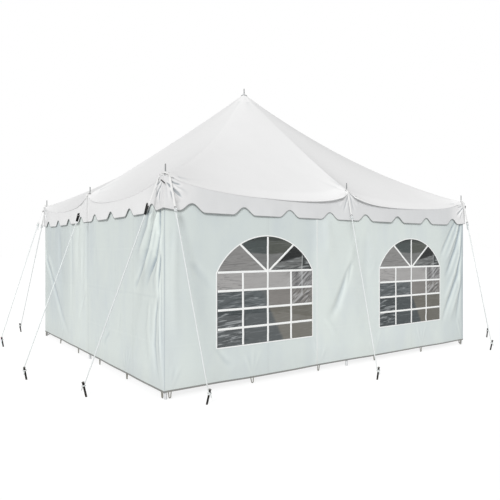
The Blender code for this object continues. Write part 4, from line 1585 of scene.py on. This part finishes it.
class TENT_OT_poles(bpy.types.Operator):
    """Finish the poles, the mast and the eave rope, and add washers on the pins"""

    bl_idname = "tent.poles"
    bl_label = "Poles"

    def execute(self, context):
        shine = {"roughness": 0.48, "spangle": 95.0, "metallic": 0.45, "pin_colour": (0.26, 0.27, 0.27)}
        steel = steel_material("galvanised steel", (0.80, 0.81, 0.82), **shine)
        for name in (*(f"pole_{name}" for name in POLES), "centre_pole", "foot_plate"):
            put_material(name, steel)
        put_material("eave_rope", rope_material("eave rope", (0.70, 0.73, 0.72)))
        profile = [(0.0086, 0.0), (0.0220, -0.0010), (0.0240, 0.0), (0.0230, 0.0026)]
        profile += [(0.0100, 0.0032), (0.0086, 0.0020), (0.0086, 0.0)]
        washer = turned("washer", profile, steps=28, ring=True)
        washers = []
        for name, (px, py) in POLES.items():
            x, y = px * PIN_LINE, py * PIN_LINE
            place = Matrix.Translation((x, y, float(roof_cloth(x, y)) + 0.0045))
            washers.append(placed_copy(washer, f"washer_{name}", place))
        bpy.data.objects.remove(washer, do_unlink=True)
        zinc = steel_material("washer steel", (0.20, 0.20, 0.21), roughness=0.45, spangle=150.0)
        finish_piece(join("pin_washers", washers), zinc, "pole_steel")
        return {"FINISHED"}


class TENT_OT_guys(bpy.types.Operator):
    """Make the twelve guy ropes with their webbing straps, ratchets and hitches"""

    bl_idname = "tent.guys"
    bl_label = "Guy ropes"

    def execute(self, context):
        settings = context.scene.tent_ropes
        rope = rope_material("guy rope", tuple(settings.rope_colour))
        webbing = plain_fabric("guy strap", (0.90, 0.90, 0.89), roughness=0.6, ribs=900.0)
        black = steel_material("ratchet steel", (0.035, 0.035, 0.034), roughness=0.42, spangle=200.0)
        dark = steel_material("ring steel", (0.30, 0.30, 0.30), roughness=0.40, spangle=200.0)
        ratchet = self.ratchet()
        served = set()
        for name, (pole, stake) in GUYS.items():
            level = 1 if pole in served else 0
            served.add(pole)
            pin, heading, beside, axis = guy_lines(pole, stake)
            square = max(abs(heading.x), abs(heading.y))
            lip = pin - beside * (SIDE_PIN_RADIUS + GAP + GUY_RADIUS)
            lip = lip + heading * (EAVE_HALF - PIN_LINE + EDGE_CLEARANCE) / square
            lip.z = EAVE_HEIGHT + STRAP_ON_EAVE + STRAP_ON_EAVE_STEP * level
            below_top = STAKE_HEIGHT / math.cos(STAKE_LEAN) - STAKE_LOOP_BELOW_TOP
            held = Vector((*stake, 0.0)) + axis * below_top
            line = (held - beside * (STAKE_RADIUS + GAP + ROPE_RADIUS) - lip).normalized()
            normal = (UP - line * line.z).normalized()
            end = lip + line * settings.strap_length
            finish_piece(self.strap(name, pin, heading, beside, level, lip, end), webbing, "rope_white")
            has_ratchet = name in RATCHETS
            begin = end + line * (RATCHET_REACH if has_ratchet else RING_REACH)
            paths = [self.rope_path(begin, held, heading, beside, axis)]
            if not has_ratchet:
                paths.append(self.knot_path(begin, line, normal))
            cord = laid_rope(f"guy_rope_{name}", paths, ROPE_RADIUS, lay=0.060)
            finish_piece(cord, rope, "rope_white", f"guy_{name}")
            if has_ratchet:
                place = Matrix.Translation(end + line * RATCHET_MIDDLE) @ lying_along(-line, normal)
                finish_piece(placed_copy(ratchet, f"guy_ratchet_{name}", place), black, "stake_steel")
            else:
                finish_piece(self.ring(name, end, line, normal), dark, "stake_steel")
        bpy.data.objects.remove(ratchet, do_unlink=True)
        # Dark corner bars: steel pieces that also stand as painted shade under the straps' crossing.
        shadow_hooks = [self.shadow_hook(name, *place) for name, place in POLES.items() if 0 not in place]
        finish_piece(join("corner_hooks", shadow_hooks), black, "stake_steel")
        return {"FINISHED"}

    def strap(self, name, pin, heading, beside, level, lip, end):
        """Webbing from a turn round the pin, over the eave's edge and down to the buckle."""
        centre = Vector((pin.x, pin.y, float(roof_cloth(pin.x, pin.y))))
        centre.z += STRAP_ON_PIN + STRAP_ON_PIN_STEP * level
        radius = SIDE_PIN_RADIUS + 0.0030
        points, wanted, widths = [], [], []

        def add(point, facing, width):
            points.append(point)
            wanted.append(facing)
            widths.append(width)

        for i in range(13):
            angle = math.radians(20.0 + 250.0 * i / 12)
            ray = heading * math.cos(angle) + beside * math.sin(angle)
            add(centre + ray * radius, ray, STRAP_NARROW)
        outward = Vector((math.copysign(1.0, heading.x), 0.0, 0.0))
        if abs(heading.y) > abs(heading.x):
            outward = Vector((0.0, math.copysign(1.0, heading.y), 0.0))
        start_run = centre - beside * radius + heading * 0.012
        for share in (i / 7 for i in range(8)):
            facing = (-beside).lerp(UP, float(smooth(share * 1.4))).normalized()
            add(start_run.lerp(lip, share), facing, STRAP_NARROW + (STRAP_WIDE - STRAP_NARROW) * share)
        for share in (i / 28 for i in range(1, 29)):
            facing = UP.lerp(outward, float(smooth(share * 9.0))).normalized()
            add(lip.lerp(end, share), facing, STRAP_WIDE)
        parts = ribbon_parts(points, path_facing(points, wanted), widths, STRAP_THICK)
        return mesh_from_parts(f"guy_strap_{name}", [parts])

    def rope_path(self, begin, held, heading, beside, axis):
        """Path of a rope from its buckle to the stake, with its turns round the stake and its tail."""
        ring = STAKE_RADIUS + GAP + ROPE_RADIUS
        first = beside.cross(axis)
        turns = helix(held, first, beside, axis, ring, start=-math.pi / 2, turns=1.3, rise=-0.022)
        fall = UP * -0.04 + heading * 0.010
        return [begin, *turns, *(turns[-1] + fall * (i / 5) for i in range(1, 6))]

    def knot_path(self, begin, line, normal):
        """Path of the hitch behind a ring, and of its loose end."""
        coil = 2.0 * ROPE_RADIUS
        centre = begin + line * 0.010
        turns = 2.4
        knot = helix(centre, normal, normal.cross(line), line, coil, 0.0, turns, turns * coil)
        fall = UP * -0.07 + normal * 0.012 + line * 0.015
        return knot + [knot[-1] + fall * (i / 8) for i in range(1, 9)]

    def shadow_hook(self, name, px, py):
        """Slanting bar of dark steel that holds both straps at a corner, just under the eave; its dark also
        stands as painted shade under the straps' crossing.
        """
        out = Vector((px, py, 0.0)).normalized()
        aside = Vector((-py, px, 0.0)).normalized()
        corner = Vector((px * EAVE_HALF, py * EAVE_HALF, EAVE_HEIGHT - SHADOW_HOOK_DROP)) + out * SHADOW_HOOK_OUT
        profile = [(0.0050, 0.0), (0.0066, 0.0018)]
        profile += [(0.0066, SHADOW_HOOK_LENGTH - 0.0018), (0.0050, SHADOW_HOOK_LENGTH)]
        bar = turned(f"corner_hook_{name}", profile, steps=14)
        along = aside * 0.052 - UP * 0.044
        bar.data.transform(Matrix.Translation(corner - along / 2) @ standing_along(along))
        return bar

    def ring(self, name, end, line, normal):
        """Steel ring that joins a strap's end to its rope."""
        deselect()
        bpy.ops.mesh.primitive_torus_add(
            major_segments=28, minor_segments=10, major_radius=0.0145, minor_radius=0.0032
        )
        ring = named(bpy.context.object, f"guy_ring_{name}")
        edit(ring)
        bpy.ops.transform.resize(value=(0.9, 1.15, 1.0), center_override=(0.0, 0.0, 0.0))
        close()
        ring.data.transform(Matrix.Translation(end + line * RING_MIDDLE) @ lying_along(line, normal))
        bpy.ops.object.shade_smooth()
        return ring

    def ratchet(self):
        """Strap ratchet, its length along X: base, two cheeks, spool, and a handle with a grip."""
        pieces = []

        def block(size, place, tilt=0.0, bevel=0.0025):
            deselect()
            bpy.ops.mesh.primitive_cube_add(size=1.0, location=(0.0, 0.0, 0.0))
            piece = bpy.context.object
            edit(piece)
            bpy.ops.transform.resize(value=size, center_override=(0.0, 0.0, 0.0))
            bpy.ops.mesh.bevel(offset=bevel, segments=2, affect="EDGES")
            close()
            piece.data.transform(Matrix.Translation(place) @ Matrix.Rotation(tilt, 4, "Y"))
            pieces.append(piece)

        def rod(radius, length, x, z):
            profile = [(radius * 0.8, 0.0), (radius, 0.001), (radius, length - 0.001), (radius * 0.8, length)]
            piece = turned("rod", profile, steps=16)
            lay = Matrix.Translation((x, length / 2, z)) @ Matrix.Rotation(math.radians(90), 4, "X")
            piece.data.transform(lay)
            pieces.append(piece)

        tilt = math.radians(-10)
        block((0.105, 0.030, 0.003), (0.0, 0.0, -0.004))
        for hand in (-1.0, 1.0):
            block((0.085, 0.003, 0.026), (-0.004, hand * 0.0175, 0.006), bevel=0.0012)
            block((0.100, 0.003, 0.014), (0.012, hand * 0.0215, 0.018), tilt, 0.0012)
        block((0.034, 0.046, 0.010), (0.056, 0.0, 0.026), tilt, 0.004)
        rod(radius=0.0080, length=0.050, x=0.004, z=0.011)
        rod(radius=0.0040, length=0.044, x=-0.040, z=0.004)
        rod(radius=0.0040, length=0.044, x=0.042, z=-0.001)
        joined = join("ratchet", pieces)
        edit(joined)
        bpy.ops.transform.resize(value=(1.2, 0.72, 0.85), center_override=(0.0, 0.0, 0.0))
        close()
        bpy.ops.object.shade_smooth_by_angle(angle=math.radians(35))
        return joined


class TENT_OT_stakes(bpy.types.Operator):
    """Make the twelve forged stakes"""

    bl_idname = "tent.stakes"
    bl_label = "Stakes"

    def execute(self, context):
        settings = context.scene.tent_ropes
        stake = self.stake(settings.stake_sides)
        forged = stake_material("forged stake", tuple(settings.stake_colour))
        for number, (name, (pole, base)) in enumerate(GUYS.items()):
            spin = Matrix.Rotation(0.7 * number, 4, "Z")
            lean = standing_along(guy_lines(pole, base)[3])
            copy = placed_copy(stake, f"ground_stake_{name}", Matrix.Translation((*base, 0.0)) @ lean @ spin)
            edit(copy)
            cut = {"plane_co": (0.0, 0.0, 0.0), "plane_no": (0.0, 0.0, 1.0)}
            bpy.ops.mesh.bisect(**cut, use_fill=True, clear_inner=True)
            close()
            finish_piece(copy, forged, "stake_steel", f"stake_{name}")
        bpy.data.objects.remove(stake, do_unlink=True)
        return {"FINISHED"}

    def stake(self, sides):
        """Upright stake with a head that hammering has spread and dented."""
        top = STAKE_HEIGHT / math.cos(STAKE_LEAN)
        wide = STAKE_RADIUS
        profile = [(wide, -0.012), (wide, 0.020), (wide * 1.01, 0.10), (wide * 1.03, top - 0.020)]
        profile += [(wide * 1.16, top - 0.0135), (0.0172, top - 0.0110), (0.0180, top - 0.0075)]
        profile += [(0.0168, top - 0.0035), (0.0120, top - 0.0012), (0.0050, top)]
        stake = turned("stake", profile, sides)
        bpy.ops.object.modifier_add(type="SUBSURF")
        rounding = stake.modifiers[-1]
        rounding.levels = 1
        rounding.render_levels = 1
        bpy.ops.object.modifier_apply(modifier=rounding.name)
        x, y, z = np.array([tuple(v.co) for v in stake.data.vertices]).T
        angle = np.arctan2(y, x)
        beaten = smooth((z - top + 0.016) / 0.008)
        burr = 1.0 + beaten * (0.07 * np.cos(3 * angle + 0.6) + 0.04 * np.cos(7 * angle))
        dented = z - beaten * 0.0012 * (1.0 + np.cos(2 * angle + 1.0)) * np.hypot(x, y) / wide
        stake.data.vertices.foreach_set("co", np.stack([x * burr, y * burr, dented], axis=1).ravel())
        stake.data.update()
        set_uv(stake, np.stack([angle * wide, z], axis=1))
        return stake


class TENT_PT_panel(bpy.types.Panel):
    bl_label = "Marquee tent"
    bl_idname = "TENT_PT_panel"
    bl_space_type = "VIEW_3D"
    bl_region_type = "UI"
    bl_category = "Tent"

    def draw(self, context):
        for name in SETTINGS:
            settings = getattr(context.scene, name)
            box = self.layout.box()
            for field in settings.__annotations__:
                box.prop(settings, field)
        for operator in OPERATORS:
            self.layout.operator(operator.bl_idname)


OPERATORS = (
    TENT_OT_stage,
    TENT_OT_roof,
    TENT_OT_valances,
    TENT_OT_walls,
    TENT_OT_windows,
    TENT_OT_poles,
    TENT_OT_guys,
    TENT_OT_stakes,
)
SETTINGS = {
    "tent_roof": TentRoofSettings,
    "tent_walls": TentWallSettings,
    "tent_windows": TentWindowSettings,
    "tent_ropes": TentRopeSettings,
    "tent_stage": TentStageSettings,
}


def register():
    for cls in (*SETTINGS.values(), *OPERATORS, TENT_PT_panel):
        bpy.utils.register_class(cls)
    for name, cls in SETTINGS.items():
        setattr(bpy.types.Scene, name, PointerProperty(type=cls))


def unregister():
    for name in SETTINGS:
        delattr(bpy.types.Scene, name)
    for cls in reversed((*SETTINGS.values(), *OPERATORS, TENT_PT_panel)):
        bpy.utils.unregister_class(cls)


def main():
    register()
    bpy.ops.tent.stage()
    bpy.ops.tent.roof()
    bpy.ops.tent.valances()
    bpy.ops.tent.walls()
    bpy.ops.tent.windows()
    bpy.ops.tent.poles()
    bpy.ops.tent.guys()
    bpy.ops.tent.stakes()


if __name__ == "__main__":
    main()
